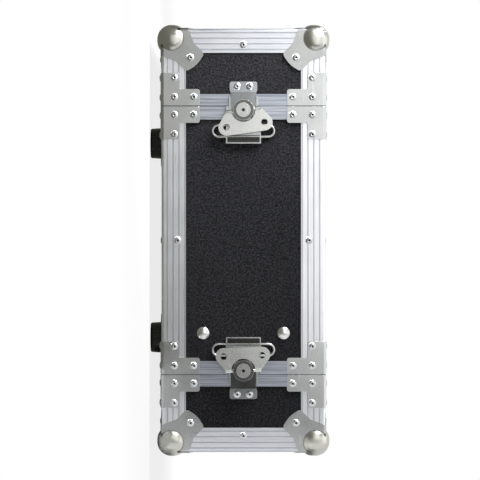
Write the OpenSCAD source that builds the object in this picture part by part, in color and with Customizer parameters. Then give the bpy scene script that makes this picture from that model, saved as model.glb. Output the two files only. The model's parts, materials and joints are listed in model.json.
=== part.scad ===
// Flight rack case, four units high, with a lift-off lid at the front and at the rear.
// It stands on its rubber feet: X is the rack's width, -Y the front, +Z up.
// The origin is on the floor, under the middle of the case.

/* [Rack space] */
// Clear width between the side panels
inner_w = 490; // [480:1:520]
// Number of rack units
rack_units = 4; // [3:1:8]
// Height of one rack unit
unit_h = 44.45; // [44.4:0.05:44.5]
// Play in the height beyond the rack units
height_play = 3.2; // [2:0.1:6]
// Distance of the rack holes from the side panels
rack_hole_in = 12.45; // [11.5:0.05:13.5]
// Radius of a tapped rack hole
rack_hole_r = 2.5; // [2:0.1:3]

/* [Case] */
// Depth of the body between its two joints
body_d = 331; // [280:1:500]
// Depth of each lid
lid_d = 95.5; // [80:0.5:140]
// Thickness of the plywood panels
panel_t = 9; // [7:0.5:12]
// Height of the feet under the case
foot_h = 15; // [10:1:25]

/* [Edge extrusions] */
// Width of each leg of an edge extrusion
edge_leg = 30; // [26:1:34]
// Wall of an edge extrusion
edge_t = 1.5; // [1.2:0.1:2]
// Radius of the outer edge
edge_r = 3; // [2:0.5:3.5]
// First groove of the depth edges, from the outer edge
groove_first = 7.1; // [6:0.1:8]
// Spacing of the grooves
groove_pitch = 7.2; // [6:0.1:8]
// First groove of the lid's face edges, from the outer edge
face_groove_first = 5.2; // [4:0.1:6]
// Spacing of the grooves of the lid's face edges
face_groove_pitch = 6.9; // [6:0.1:7.5]
// Width of a groove
groove_w = 1.2; // [0.6:0.1:1.6]
// Depth of a groove
groove_depth = 0.5; // [0.3:0.1:0.7]

/* [Closing frames] */
// Width of the frame that shows on the body
body_band = 16.6; // [14:0.1:20]
// Width of the frame that shows on a lid
lid_band = 14.7; // [13:0.1:20]
// Thickness of the frame's inner leg
frame_leg_t = 1.2; // [1:0.1:1.4]
// Height of the tongue on a lid
tongue_h = 4; // [3:0.1:6]
// Thickness of the tongue
tongue_t = 4; // [3:0.1:5]
// Play of the tongue in its groove, on each side
tongue_play = 0.4; // [0.3:0.1:0.8]

/* [Braces and ball corners] */
// Thickness of the folded and pressed steel sheet
sheet_t = 1.2; // [1:0.1:1.5]
// Reach of a brace along the joint
brace_long = 47.3; // [44:0.1:54]
// Width of the brace leg along the joint
brace_long_w = 20.8; // [19:0.1:24]
// Reach of a brace along the depth
brace_deep = 40.8; // [38:0.1:44]
// Width of the brace leg along the depth
brace_deep_w = 21.7; // [20:0.1:25]
// Radius of a brace's corners
brace_r = 3; // [1:0.5:5]
// Radius of a ball corner
ball_r = 17.5; // [17:0.1:17.5]
// Depth of the ball's centre under each face
ball_in = 12; // [11.8:0.1:12.2]
// Length of a ball corner's root along the case edge
ball_root = 33.5; // [32:0.5:36]
// Reach of a ball corner's leg along the diagonal
ball_tip = 62; // [58:0.5:66]
// Width of a ball corner's leg
ball_leg_w = 31; // [28:0.5:34]
// Radius of the leg's corners
ball_leg_r = 5; // [3:0.5:7]

/* [Blind rivets] */
// Radius of a rivet's head
rivet_head_r = 4.75; // [4:0.05:5.5]
// Height of a rivet's head
rivet_head_h = 1.7; // [1.3:0.1:2.4]
// Radius of a rivet's shank
rivet_r = 2; // [1.6:0.1:2.4]
// Radius of the hole in the head
rivet_bore_r = 1.25; // [0.9:0.05:1.4]
// Number of rivets on a long face edge, for each leg
long_edge_rivets = 3; // [2:1:5]

/* [Feet] */
// Radius of a foot at the case
foot_r = 19.5; // [15:0.5:24]
// Radius of a foot at the floor
foot_floor_r = 18.5; // [14:0.5:22]
// Distance of a foot from the side face
foot_in_x = 55; // [50:1:90]
// Distance of a foot from the joint
foot_in_y = 44; // [44:1:70]

/* [Rack rails] */
// Thickness of a rail
rail_t = 2; // [1.5:0.1:3]
// Depth of the rail's side leg
rail_side = 40; // [34:1:60]
// Width of the rail's face
rail_face = 20; // [18:0.5:22]
// Distance of the rail bolts from the front joint
rail_bolt_y = 51; // [45:1:80]
// Height of the rail bolts above and below the middle
rail_bolt_z = 49.6; // [44:0.1:60]
// Radius of a rail bolt's head
bolt_head_r = 7.85; // [6:0.05:9]
// Radius of a rail bolt's thread
bolt_r = 3; // [2.5:0.1:4]

/* [Latches] */
// Distance of the latch's axis from the joint
latch_axis_in = 5.4; // [4:0.1:8]
// Turn of the wings of the left rear latch from their closed stop
rear_left_turn = 8; // [0:1:12]
// Turn of the wings of the left front latch from their closed stop
front_left_turn = 2; // [0:1:12]
// Radius of the cap
cap_r = 12.85; // [11:0.05:13.2]
// Radius of the button on the cap
button_r = 8.7; // [6:0.1:10]
// Distance of the wings' straight edge from the axis
wing_reach = 28.6; // [26:0.1:32]
// Distance of a wing's hole from the middle
wing_hole_v = 23.5; // [21:0.1:25]
// Distance of a wing's hole from the hinge
wing_hole_u = 18.2; // [16:0.1:20]
// Radius of a wing's hole
wing_hole_r = 4; // [2.5:0.1:4.5]
// Radius of a wing's outer corner
wing_corner_r = 10; // [8:0.1:10.4]
// Radius of the cut-out round the cap
wing_cut_r = 14.7; // [14.2:0.1:15.5]
// Half width of the wings at their hinge
wing_root_v = 22; // [20:0.1:24]
// Thickness of the wings
wing_t = 1.8; // [1.2:0.1:2]
// Width of the draw plate
draw_w = 30.6; // [28:0.1:31]
// Thickness of the draw plate
draw_t = 1.6; // [1.2:0.1:1.8]
// Travel of the draw plate along the case
draw_travel = 6; // [4:0.1:6.4]
// Lift of the draw plate over its travel
draw_lift = 3.6; // [3:0.1:4]
// Width of the latch base
base_w = 43; // [42:0.1:46]
// Thickness of the latch base
base_t = 1.2; // [1:0.1:1.4]
// Far end of the latch base from the axis
base_far = 41; // [39:0.1:44]
// Width of the wire loop
wire_w = 78.3; // [70:0.1:84]
// Height of the wire loop
wire_h = 17; // [14:0.1:18]
// Radius of the wire
wire_r = 1.4; // [1:0.1:1.5]
// Width of the keeper
keeper_w = 34; // [32:0.1:38]

/* [Hidden] */
$fn = 64;

// Overrun of every cut
over = 1;
// Clearance of a shank in its hole, on the radius
hole_play = 0.2;
// Running clearance of a pin or shaft in its bore, on the radius
run_play = 0.05;
// Air gap between two pieces that move past each other
air = 0.4;
// Joint line between two pieces that butt together
seam = 0.1;

// The case as a whole
sides = [-1, 1];
lids = [-1, 1];
rack_h = rack_units * unit_h;
wall = panel_t + edge_t;
case_w = inner_w + 2 * wall;
case_h = rack_h + height_play + 2 * wall;
mid_z = foot_h + case_h / 2;
half_w = case_w / 2;
joint_y = body_d / 2;
case_half_d = joint_y + lid_d;

// Closing frames: a tongue on the lid, a groove in the body, a web behind each
groove_t = tongue_t + 2 * tongue_play;
groove_h = tongue_h + tongue_play;
frame_web = 2;
body_web = groove_h + frame_web;
inner_leg = 12;
frame_depth = wall + frame_leg_t;
tongue_in = frame_depth / 2 - tongue_t / 2;

// Braces
brace_gap = 0.6;

// Ball corners: the outline of a leg's root, as shares of the root's length
ball_root_shares = [[1, 0], [1.1, 0.27], [1.2, 0.55], [1.41, 0.78]];
ball_fillet = 2;
ball_notch = ball_r;
ball_bore = ball_notch + air;
ball_rivet = 36;
tip_bulge = 1.6;

// Rivets: distances from the case edge and from the joint, and the lengths of shank and bore
brace_rivet_edge = 16;
brace_rivet_far = 40;
brace_rivet_near_joint = 11;
brace_rivet_off_joint = 35;
edge_rivet_in = 20;
rivet_len = 8;
rivet_bore_l = 1;

// Feet
foot_rise = foot_h + edge_t;
foot_round = 2;
washer_r = 9;
washer_t = 1.5;
foot_hole_r = 2.6;
foot_web = 4;
screw_r = 2.4;
screw_head_r = 4.5;
screw_head_h = 2.6;
screw_bite = 8;
cross_w = 1.2;
cross_l = 5;

// Rack rails and their bolts
rail_front = rail_bolt_y - joint_y - rail_side / 2;
rail_x = inner_w / 2;
// The three holes of a rack unit, from its lower edge
unit_hole_step = 15.875;
rack_hole_at = [for (step = [-1 : 1]) unit_h / 2 + step * unit_hole_step];
bolt_head_h = 3.4;
nut_r = 5.77;
nut_h = 5;
bolt_tail = 2;

// Latches: heights are above the frame's face
latch_drop = edge_t;
draw_z = 2.6;
draw_bar = 4;
claw_z = 0.8;
claw_t = 1.4;
claw_u = 22.5;
dent_u = 15;
dent_r = 3;
dent_h = 0.4;
disc_r = 8;
disc_off = draw_travel / 2;
disc_play = 1.1;
disc_z = base_t + air;
shaft_r = 3.6;
head_z = draw_z + draw_t + draw_lift + 2 * air;
neck_r = 10.5;
pin_r = 1.3;
ear_r = 2.4;
lug_r = 2.4;
lug_v = 14.2;
pin_z = head_z + ear_r;
cap_z = pin_z + pin_r + air;
cap_t = 1.6;
button_h = 1.6;
button_rim = 1.4;
dimple_r = 1.7;
dimple_h = 0.9;
wing_z = head_z + run_play;
guide_t = 2.2;
guide_in = draw_w / 2 + air;
guide_front = 16.7;
guide_back = 10;
guide_top = 6;
stop_t = 1.6;
stop_in = base_w / 2 - stop_t;
stop_back = 6;
base_front = latch_axis_in - air;
base_step = body_band - latch_axis_in + air;
channel_u = 28.8;
channel_wall = 1.5;
channel_h = 6.4;
channel_rib = 1.2;
wire_u = 25.3;
wire_arc = wire_h / 2 - wire_r;
wire_z = base_t - latch_drop + wire_r;
base_rivet_head_r = 3.2;
base_rivet_head_h = 1;
base_rivet_near_u = 8.2;
base_rivet_near_v = 12.2;
base_rivet_far_u = 24;
base_rivet_far_v = 13;

// Keepers
lip_t = 1.4;
lip_z = draw_z - air;
lip_out = claw_u - claw_t - air;
lip_rise = air / 4;
lip_root = 1.8;
keeper_front = latch_axis_in + lid_band + air / 2;
keeper_neck_w = 30.6;
keeper_neck_u = 25.4;
keeper_end = 35.5;
keeper_r = 3;
keeper_rivet_u = 29.7;
keeper_rivet_v = 7.7;

// Colours as the photograph shows them
laminate_c = [0.16, 0.16, 0.17];
alu_c = [0.78, 0.79, 0.82];
steel_c = [0.72, 0.74, 0.75];
rubber_c = [0.05, 0.05, 0.05];
rail_c = [0.3, 0.3, 0.31];
plate_c = [0.5, 0.51, 0.52];

// Placing

// A child drawn for the corner at the origin, in the positive octant, goes to one corner of the case
module at_corner(sx, sy, sz) {
    translate([sx * half_w, sy * case_half_d, mid_z + sz * case_h / 2])
        mirror([sx > 0 ? 1 : 0, 0, 0])
            mirror([0, sy > 0 ? 1 : 0, 0])
                mirror([0, 0, sz > 0 ? 1 : 0])
                    children();
}

// A child drawn for the edge along +Y at the origin goes to one depth edge, starts at y and runs to sy
module at_depth_edge(sx, sz, y, sy) {
    translate([sx * half_w, y, mid_z + sz * case_h / 2])
        mirror([sx > 0 ? 1 : 0, 0, 0])
            mirror([0, sy < 0 ? 1 : 0, 0])
                mirror([0, 0, sz > 0 ? 1 : 0])
                    children();
}

// A child drawn with +Z pointing out of the side face goes to a latch: +X points to the body's middle
module at_latch(sx, sy) {
    translate([sx * half_w, sy * (joint_y - latch_axis_in), mid_z])
        rotate([sx * sy > 0 ? 180 : 0, 0, 0])
            rotate([0, 0, sx > 0 ? 0 : 180])
                rotate([90, 0, 90])
                    children();
}

// A child drawn along +Z points out of a side face at y and z
module on_side(sx, y, z, sunk = 0) {
    translate([sx * (half_w - sunk), y, z]) rotate([0, sx * 90, 0]) children();
}

// A child drawn along +Z points out of the top or the bottom at x and y
module on_top(sz, x, y, sunk = 0) {
    translate([x, y, mid_z + sz * (case_h / 2 - sunk)]) rotate([sz > 0 ? 0 : 180, 0, 0]) children();
}

// A child drawn along +Z points out of a lid's face at x and z
module on_face(sy, x, z) {
    translate([x, sy * case_half_d, z]) rotate([-sy * 90, 0, 0]) children();
}

// Turns the three axes n steps round: X to Y, Y to Z and Z to X
module next_axes(n) {
    if (n == 0) children();
    if (n == 1) rotate([90, 0, 90]) children();
    if (n == 2) rotate([90, 0, 90]) rotate([90, 0, 90]) children();
}

// Rivets

// The place of every blind rivet of a joint's braces, on one side of the joint
module brace_rivet_places(sy, out) {
    for (p = [[brace_rivet_edge, brace_rivet_off_joint], [brace_rivet_edge, brace_rivet_near_joint],
              [brace_rivet_far, brace_rivet_near_joint]])
        for (sx = sides, sz = sides) {
            y = sy * (joint_y + out * p[1]);
            on_side(sx, y, mid_z + sz * (case_h / 2 - p[0])) children();
            on_top(sz, sx * (half_w - p[0]), y) children();
        }
}

// The place of every rivet at the middle of the body's depth edges
module body_edge_rivet_places() {
    for (sx = sides, sz = sides) {
        on_side(sx, 0, mid_z + sz * (case_h / 2 - edge_rivet_in)) children();
        on_top(sz, sx * (half_w - edge_rivet_in), 0) children();
    }
}

// The place of every rivet along a lid's face edges
module lid_edge_rivet_places(sy) {
    y = sy * (case_half_d - edge_rivet_in);
    for (sx = sides) {
        on_side(sx, y, mid_z) children();
        on_face(sy, sx * (half_w - edge_rivet_in), mid_z) children();
    }
    for (sz = sides, i = [1 : long_edge_rivets]) {
        x = case_w * (i / (long_edge_rivets + 1) - 1 / 2);
        on_top(sz, x, y) children();
        on_face(sy, x, mid_z + sz * (case_h / 2 - edge_rivet_in)) children();
    }
}

// The place of every rivet of a lid's ball corners
module ball_rivet_places(sy) {
    for (sx = sides, sz = sides) {
        x = sx * (half_w - ball_rivet);
        y = sy * (case_half_d - ball_rivet);
        z = mid_z + sz * (case_h / 2 - ball_rivet);
        on_side(sx, y, z) children();
        on_top(sz, x, y) children();
        on_face(sy, x, z) children();
    }
}

// The places of a latch base's rivets, in the latch's own frame: each stands on its plate
module base_rivet_places() {
    for (v = sides) {
        translate([base_rivet_near_u, v * base_rivet_near_v, base_t]) children();
        translate([base_rivet_far_u, v * base_rivet_far_v, base_t - latch_drop]) children();
    }
}

// The places of a keeper's rivets, in the latch's own frame
module keeper_rivet_places() {
    for (v = sides)
        translate([-keeper_rivet_u, v * keeper_rivet_v, base_t - latch_drop]) children();
}

// One blind rivet: its head stands on a face at height 0, its shank goes down into the wall
module rivet(head_r = rivet_head_r, head_h = rivet_head_h) {
    dome_r = (head_r * head_r + head_h * head_h) / (2 * head_h);
    rotate_extrude() difference() {
        union() {
            intersection() {
                translate([0, head_h - dome_r]) circle(dome_r, $fn = 96);
                square([head_r, head_h]);
            }
            translate([0, -rivet_len]) square([rivet_r, rivet_len]);
        }
        translate([-over, -rivet_bore_l]) square([rivet_bore_r + over, rivet_bore_l + head_h + over]);
    }
}

// The hole that a rivet's shank needs below and a little above its place
module rivet_hole() {
    translate([0, 0, -rivet_len - air])
        cylinder(r = rivet_r + hole_play, h = rivet_len + air + sheet_t + over);
}

// Every rivet hole in the body, and in one lid
module body_rivet_holes() {
    for (sy = lids) brace_rivet_places(sy, -1) rivet_hole();
    body_edge_rivet_places() rivet_hole();
    for (sx = sides, sy = lids) at_latch(sx, sy) base_rivet_places() rivet_hole();
}
module lid_rivet_holes(sy) {
    brace_rivet_places(sy, 1) rivet_hole();
    lid_edge_rivet_places(sy) rivet_hole();
    ball_rivet_places(sy) rivet_hole();
    for (sx = sides) at_latch(sx, sy) keeper_rivet_places() rivet_hole();
}

module body_rivets() {
    color(steel_c) {
        for (sy = lids) brace_rivet_places(sy, -1) translate([0, 0, sheet_t]) rivet();
        body_edge_rivet_places() rivet();
    }
}
module lid_rivets(sy) {
    color(steel_c) {
        brace_rivet_places(sy, 1) translate([0, 0, sheet_t]) rivet();
        ball_rivet_places(sy) translate([0, 0, sheet_t]) rivet();
        lid_edge_rivet_places(sy) rivet();
        for (sx = sides) at_latch(sx, sy) keeper_rivet_places() rivet();
    }
}
module latch_base_rivets() {
    color(steel_c)
        for (sx = sides, sy = lids)
            at_latch(sx, sy) base_rivet_places() rivet(base_rivet_head_r, base_rivet_head_h);
}

// Panels

// An upright and a level panel of the walls, sunk under the faces, from y0 to y1
module side_panel(sx, y0, y1) {
    translate([sx * (half_w - edge_t - panel_t / 2), (y0 + y1) / 2, mid_z])
        cube([panel_t, abs(y1 - y0), case_h - 2 * edge_t], center = true);
}
module level_panel(sz, y0, y1) {
    translate([0, (y0 + y1) / 2, mid_z + sz * (case_h / 2 - edge_t - panel_t / 2)])
        cube([inner_w - 2 * seam, abs(y1 - y0), panel_t], center = true);
}

module rail_bolt_places() {
    for (sx = sides, sz = sides)
        on_side(sx, -joint_y + rail_bolt_y, mid_z + sz * rail_bolt_z, edge_t) children();
}
module foot_places() {
    for (sx = sides, sy = lids)
        on_top(-1, sx * (half_w - foot_in_x), sy * (joint_y - foot_in_y), edge_t) children();
}

module body_side_panel(sx) {
    color(laminate_c) difference() {
        side_panel(sx, -joint_y + body_web, joint_y - body_web);
        body_rivet_holes();
        rail_bolt_places()
            translate([0, 0, -panel_t - over])
                cylinder(r = bolt_r + hole_play, h = panel_t + 2 * over);
    }
}
module body_level_panel(sz) {
    color(laminate_c) difference() {
        level_panel(sz, -joint_y + body_web, joint_y - body_web);
        body_rivet_holes();
        foot_places()
            translate([0, 0, -screw_bite - air])
                cylinder(r = screw_r + run_play, h = screw_bite + air + over);
    }
}

// Edge extrusions

// Section of an edge extrusion: a grooved angle with a rounded outer edge
module edge_section(first, pitch) {
    difference() {
        square(edge_leg);
        translate([edge_t, edge_t]) square(edge_leg);
        difference() {
            translate([-over, -over]) square(edge_r + over);
            translate([edge_r, edge_r]) circle(edge_r);
        }
        for (at = [first : pitch : edge_leg - groove_w]) {
            translate([at, 0]) groove();
            mirror([1, -1]) translate([at, 0]) groove();
        }
    }
}
module groove() {
    polygon([[-groove_w / 2, -over], [groove_w / 2, -over], [groove_w / 2, 0],
             [groove_w / 4, groove_depth], [-groove_w / 4, groove_depth], [-groove_w / 2, 0]]);
}

// A length of edge extrusion along +Y, in the quarter of +X and +Z, from y = 0
module edge_bar(len, first, pitch) {
    next_axes(2) linear_extrude(len) edge_section(first, pitch);
}

// What the two mitres at the start of a bar along +Y take away
module mitre_waste() {
    reach = edge_leg + over;
    translate([0, 0, -over])
        linear_extrude(reach + over)
            translate([-seam, 0]) polygon([[-over, -over], [reach, -over], [reach, reach]]);
    next_axes(1)
        translate([0, 0, -over])
            linear_extrude(reach + over)
                translate([seam, 0]) polygon([[-over, -over], [reach, reach], [-over, reach]]);
}

// A bar along +Y with mitres at both ends
module mitred_bar(len) {
    difference() {
        edge_bar(len, face_groove_first, face_groove_pitch);
        mitre_waste();
        translate([0, len, 0]) mirror([0, 1, 0]) mitre_waste();
    }
}

module body_edge_extrusions() {
    color(alu_c) difference() {
        for (sx = sides, sz = sides)
            at_depth_edge(sx, sz, -joint_y + body_web, 1)
                edge_bar(body_d - 2 * body_web, groove_first, groove_pitch);
        body_rivet_holes();
    }
}

// The notch that each ball corner's shell sits in
module ball_notches(sy) {
    for (sx = sides, sz = sides)
        at_corner(sx, sy, sz)
            translate([-over, -over, -over]) cube(ball_bore + over);
}

module lid_depth_extrusions(sy) {
    color(alu_c) difference() {
        for (sx = sides, sz = sides)
            at_corner(sx, sy, sz) difference() {
                edge_bar(lid_d - frame_web, groove_first, groove_pitch);
                mitre_waste();
            }
        ball_notches(sy);
        lid_rivet_holes(sy);
    }
}
module lid_face_extrusions(sy) {
    color(alu_c) difference() {
        union() {
            for (sz = sides) at_corner(-1, sy, sz) next_axes(2) mitred_bar(case_w);
            for (sx = sides) at_corner(sx, sy, -1) next_axes(1) mitred_bar(case_h);
        }
        ball_notches(sy);
        lid_rivet_holes(sy);
    }
}

// Lid panels

module lid_panel(sy) {
    color(laminate_c) difference() {
        translate([0, sy * (case_half_d - edge_t - panel_t / 2), mid_z])
            cube([case_w - 2 * edge_t, panel_t, case_h - 2 * edge_t], center = true);
        ball_notches(sy);
        lid_rivet_holes(sy);
    }
}
module lid_walls(sy) {
    y0 = sy * (joint_y + frame_web);
    y1 = sy * (case_half_d - edge_t - panel_t);
    color(laminate_c) difference() {
        union() {
            for (sx = sides) side_panel(sx, y0, y1);
            for (sz = sides) level_panel(sz, y0, y1);
        }
        ball_notches(sy);
        lid_rivet_holes(sy);
    }
}

// Closing frames

// Section of a frame: first the distance into the piece from the joint, then the distance inward
module body_frame_section() {
    difference() {
        square([body_web, frame_depth]);
        translate([-over, tongue_in - tongue_play]) square([groove_h + over, groove_t]);
    }
    square([body_band, edge_t]);
    translate([0, wall]) square([inner_leg, frame_leg_t]);
}
module lid_frame_section() {
    square([frame_web, frame_depth]);
    translate([-tongue_h, tongue_in]) square([tongue_h + frame_web, tongue_t]);
    square([lid_band, edge_t]);
    translate([0, wall]) square([inner_leg, frame_leg_t]);
}

// A mitred length of frame along +X, its outer leg cut short beside the edge extrusions
module frame_length(len, web) {
    reach = frame_depth + over;
    deep = max(body_band, lid_band) + over;
    difference() {
        next_axes(1) linear_extrude(len) children();
        for (end = [0, 1])
            translate([end * len, 0, 0]) mirror([end, 0, 0]) {
                next_axes(2)
                    translate([0, 0, -tongue_h - over])
                        linear_extrude(tongue_h + deep + over)
                            translate([-seam, 0])
                                polygon([[-over, -over], [reach, reach], [reach, -over]]);
                translate([-over, web, -over])
                    cube([edge_leg + over, deep, edge_t + over]);
            }
    }
}

// The four lengths of a frame round one joint; out is -1 on the body and 1 on a lid
module frame_ring(sy, out) {
    web = out < 0 ? body_web : frame_web;
    color(alu_c) difference() {
        union() {
            for (sz = sides)
                at_depth_edge(-1, sz, sy * joint_y, sy * out)
                    frame_length(case_w, web) frame_section(out);
            for (sx = sides)
                at_depth_edge(sx, -1, sy * joint_y, sy * out)
                    mirror([1, 0, -1]) frame_length(case_h, web) frame_section(out);
        }
        for (sx = sides, sz = sides)
            at_depth_edge(sx, sz, sy * joint_y, sy * out)
                edge_round_waste();
        if (out < 0) body_rivet_holes();
        else lid_rivet_holes(sy);
    }
}
module frame_section(out) {
    if (out < 0) body_frame_section();
    else lid_frame_section();
}

// What rounds the outer edge of a frame's corner
module edge_round_waste() {
    next_axes(2)
        translate([0, 0, -over])
            linear_extrude(body_web + 2 * over)
                difference() {
                    translate([-over, -over]) square(edge_r + over);
                    translate([edge_r, edge_r]) circle(edge_r);
                }
}

// Braces

// A strip along +X from x = 0 with two round corners at its far end
module soft_end(len, wide, r) {
    square([len - r, wide]);
    translate([0, r]) square([len, wide - 2 * r]);
    for (y = [r, wide - r]) translate([len - r, y]) circle(r);
}

// A brace's outline on one face: across from the case edge, then away from the joint
module brace_outline() {
    difference() {
        union() {
            soft_end(brace_long, brace_long_w, brace_r);
            mirror([1, -1]) soft_end(brace_deep, brace_deep_w, brace_r);
            difference() {
                translate([brace_deep_w, brace_long_w]) square(brace_r);
                translate([brace_deep_w + brace_r, brace_long_w + brace_r]) circle(brace_r);
            }
        }
        translate([-over, -over]) square([edge_r + over, brace_deep + 2 * over]);
        translate([-over, -over]) square([brace_long + 2 * over, brace_gap + over]);
    }
}

// Section of a sheet bent round the case edge
module bend_section() {
    difference() {
        translate([edge_r, edge_r]) circle(edge_r + sheet_t);
        translate([edge_r, edge_r]) circle(edge_r);
        translate([edge_r, -2 * edge_r]) square(5 * edge_r);
        translate([-2 * edge_r, edge_r]) square(5 * edge_r);
    }
}

// A folded brace at the edge along +Y, from the joint at y = 0
module brace() {
    for (swap = [0, 1])
        mirror([swap, 0, -swap])
            translate([0, 0, -sheet_t]) linear_extrude(sheet_t) brace_outline();
    next_axes(2)
        translate([0, 0, brace_gap])
            linear_extrude(brace_deep - brace_gap) bend_section();
}
module braces(sy, out) {
    color(steel_c) difference() {
        for (sx = sides, sz = sides)
            at_depth_edge(sx, sz, sy * joint_y, sy * out) brace();
        brace_rivet_places(sy, out) rivet_hole();
    }
}
module body_corner_braces() {
    for (sy = lids) braces(sy, -1);
}

// Ball corners

// Outline of one leg on the face of +X and +Y, with the case corner at the origin
module ball_leg_outline() {
    half = ball_leg_w / 2;
    tip = ball_tip - tip_bulge - ball_leg_r;
    chord = half - ball_leg_r;
    bulge_r = (chord * chord + tip_bulge * tip_bulge) / (2 * tip_bulge);
    polygon(concat(
        [for (p = ball_root_shares) [p[0] * ball_root, p[1] * ball_root]],
        [for (i = [len(ball_root_shares) - 1 : -1 : 0])
            [ball_root_shares[i][1] * ball_root, ball_root_shares[i][0] * ball_root]],
        [[0, 0]]));
    rotate([0, 0, 45]) {
        translate([ball_root, -half]) square([tip - ball_root, ball_leg_w]);
        translate([tip, -chord]) square([ball_leg_r, 2 * chord]);
        for (v = [-chord, chord]) translate([tip, v]) circle(ball_leg_r);
        intersection() {
            translate([ball_tip - bulge_r, 0]) circle(bulge_r, $fn = 128);
            translate([tip, -chord]) square([ball_leg_r + tip_bulge, 2 * chord]);
        }
    }
}

// The ball: a round shell whose middle lies under the three faces
module ball(shrink) {
    translate([ball_in, ball_in, ball_in]) sphere(ball_r - shrink);
}

// The hollow fillet where the ball rises from a leg
module ball_fillet_ring() {
    drop = ball_in + sheet_t + ball_fillet;
    span = ball_r + ball_fillet;
    foot = sqrt(span * span - drop * drop);
    touch = ball_r / span;
    rotate_extrude() difference() {
        polygon([[foot * touch - sheet_t / 2, sheet_t / 2], [foot, sheet_t / 2],
                 [foot, sheet_t + ball_fillet], [foot * touch, drop * touch - ball_in],
                 [foot * touch - sheet_t / 2, drop * touch - ball_in]]);
        translate([foot, sheet_t + ball_fillet]) circle(ball_fillet);
    }
}

// One leg on the face of +X and +Y, whose outside points down
module ball_leg() {
    big = 2 * ball_root;
    translate([0, 0, -sheet_t]) linear_extrude(sheet_t) difference() {
        ball_leg_outline();
        translate([-over, -over]) square([edge_r + over, big]);
        translate([-over, -over]) square([big, edge_r + over]);
    }
    intersection() {
        translate([ball_in, ball_in, 0]) mirror([0, 0, 1]) ball_fillet_ring();
        difference() {
            translate([edge_r / 2, edge_r / 2, -big]) cube(big);
            translate([-over, -over, -big - over]) cube([ball_in + over, ball_in + over, big + 2 * over]);
        }
    }
}

// A whole ball corner at the origin, with the case in the positive octant
module ball_corner() {
    big = 3 * ball_r;
    difference() {
        union() {
            ball(0);
            for (n = [0 : 2]) next_axes(n) {
                ball_leg();
                next_axes(2)
                    translate([0, 0, ball_in])
                        linear_extrude(ball_root - ball_in) bend_section();
            }
        }
        ball(sheet_t);
        difference() {
            cube(big);
            translate([-over, -over, -over]) cube(ball_notch + over);
        }
    }
}
module lid_ball_corners(sy) {
    color(steel_c) difference() {
        for (sx = sides, sz = sides) at_corner(sx, sy, sz) ball_corner();
        ball_rivet_places(sy) rivet_hole();
    }
}

// Feet

module foot() {
    rotate_extrude() difference() {
        union() {
            polygon([[0, 0], [foot_r, 0], [foot_floor_r, foot_rise - foot_round],
                     [foot_floor_r - foot_round, foot_rise], [0, foot_rise]]);
            translate([foot_floor_r - foot_round, foot_rise - foot_round]) circle(foot_round);
        }
        translate([-over, -over]) square([foot_hole_r + over, foot_rise + 2 * over]);
        translate([-over, foot_web]) square([washer_r + air + over, foot_rise]);
    }
}
module foot_screw() {
    difference() {
        union() {
            translate([0, 0, -screw_bite]) cylinder(r = screw_r, h = screw_bite + foot_web + washer_t);
            translate([0, 0, foot_web + washer_t]) cylinder(r = screw_head_r, h = screw_head_h);
        }
        for (turn = [0, 90])
            rotate([0, 0, turn])
                translate([-cross_l / 2, -cross_w / 2, foot_web + washer_t + screw_head_h / 2])
                    cube([cross_l, cross_w, screw_head_h]);
    }
}
module rubber_feet() {
    color(rubber_c) foot_places() foot();
}
module foot_washers() {
    color(steel_c) foot_places() translate([0, 0, foot_web]) difference() {
        cylinder(r = washer_r, h = washer_t);
        translate([0, 0, -over]) cylinder(r = foot_hole_r, h = washer_t + 2 * over);
    }
}
module foot_screws() {
    color(steel_c) foot_places() foot_screw();
}

// Rack rails

module rack_rail(sx) {
    color(rail_c) mirror([sx > 0 ? 0 : 1, 0, 0]) translate([0, rail_front, mid_z - rack_h / 2])
        difference() {
            union() {
                translate([rail_x - rail_t, 0, 0]) cube([rail_t, rail_side, rack_h]);
                translate([rail_x - rail_face, 0, 0]) cube([rail_face, rail_t, rack_h]);
            }
            for (unit = [0 : rack_units - 1], step = [0 : 2])
                translate([rail_x - rack_hole_in, -over, unit * unit_h + rack_hole_at[step]])
                    rotate([-90, 0, 0]) cylinder(r = rack_hole_r, h = rail_t + 2 * over);
            for (sz = sides)
                translate([rail_x - rail_t - over, rail_side / 2, rack_h / 2 + sz * rail_bolt_z])
                    rotate([0, 90, 0]) cylinder(r = bolt_r + hole_play, h = rail_t + 2 * over);
        }
}
module rail_bolts() {
    grip = panel_t + rail_t + nut_h + bolt_tail;
    dome_r = (bolt_head_r * bolt_head_r + bolt_head_h * bolt_head_h) / (2 * bolt_head_h);
    color(steel_c) rail_bolt_places() rotate_extrude() {
        intersection() {
            translate([0, bolt_head_h - dome_r]) circle(dome_r, $fn = 96);
            square([bolt_head_r, bolt_head_h]);
        }
        translate([0, -grip]) square([bolt_r, grip]);
    }
}
module rail_nuts() {
    color(steel_c) rail_bolt_places() translate([0, 0, -panel_t - rail_t - nut_h]) difference() {
        cylinder(r = nut_r, h = nut_h, $fn = 6);
        translate([0, 0, -over]) cylinder(r = bolt_r + run_play, h = nut_h + 2 * over);
    }
}

// Latches, each drawn in its own frame: +X to the body's middle, +Z out of the side face

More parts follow.
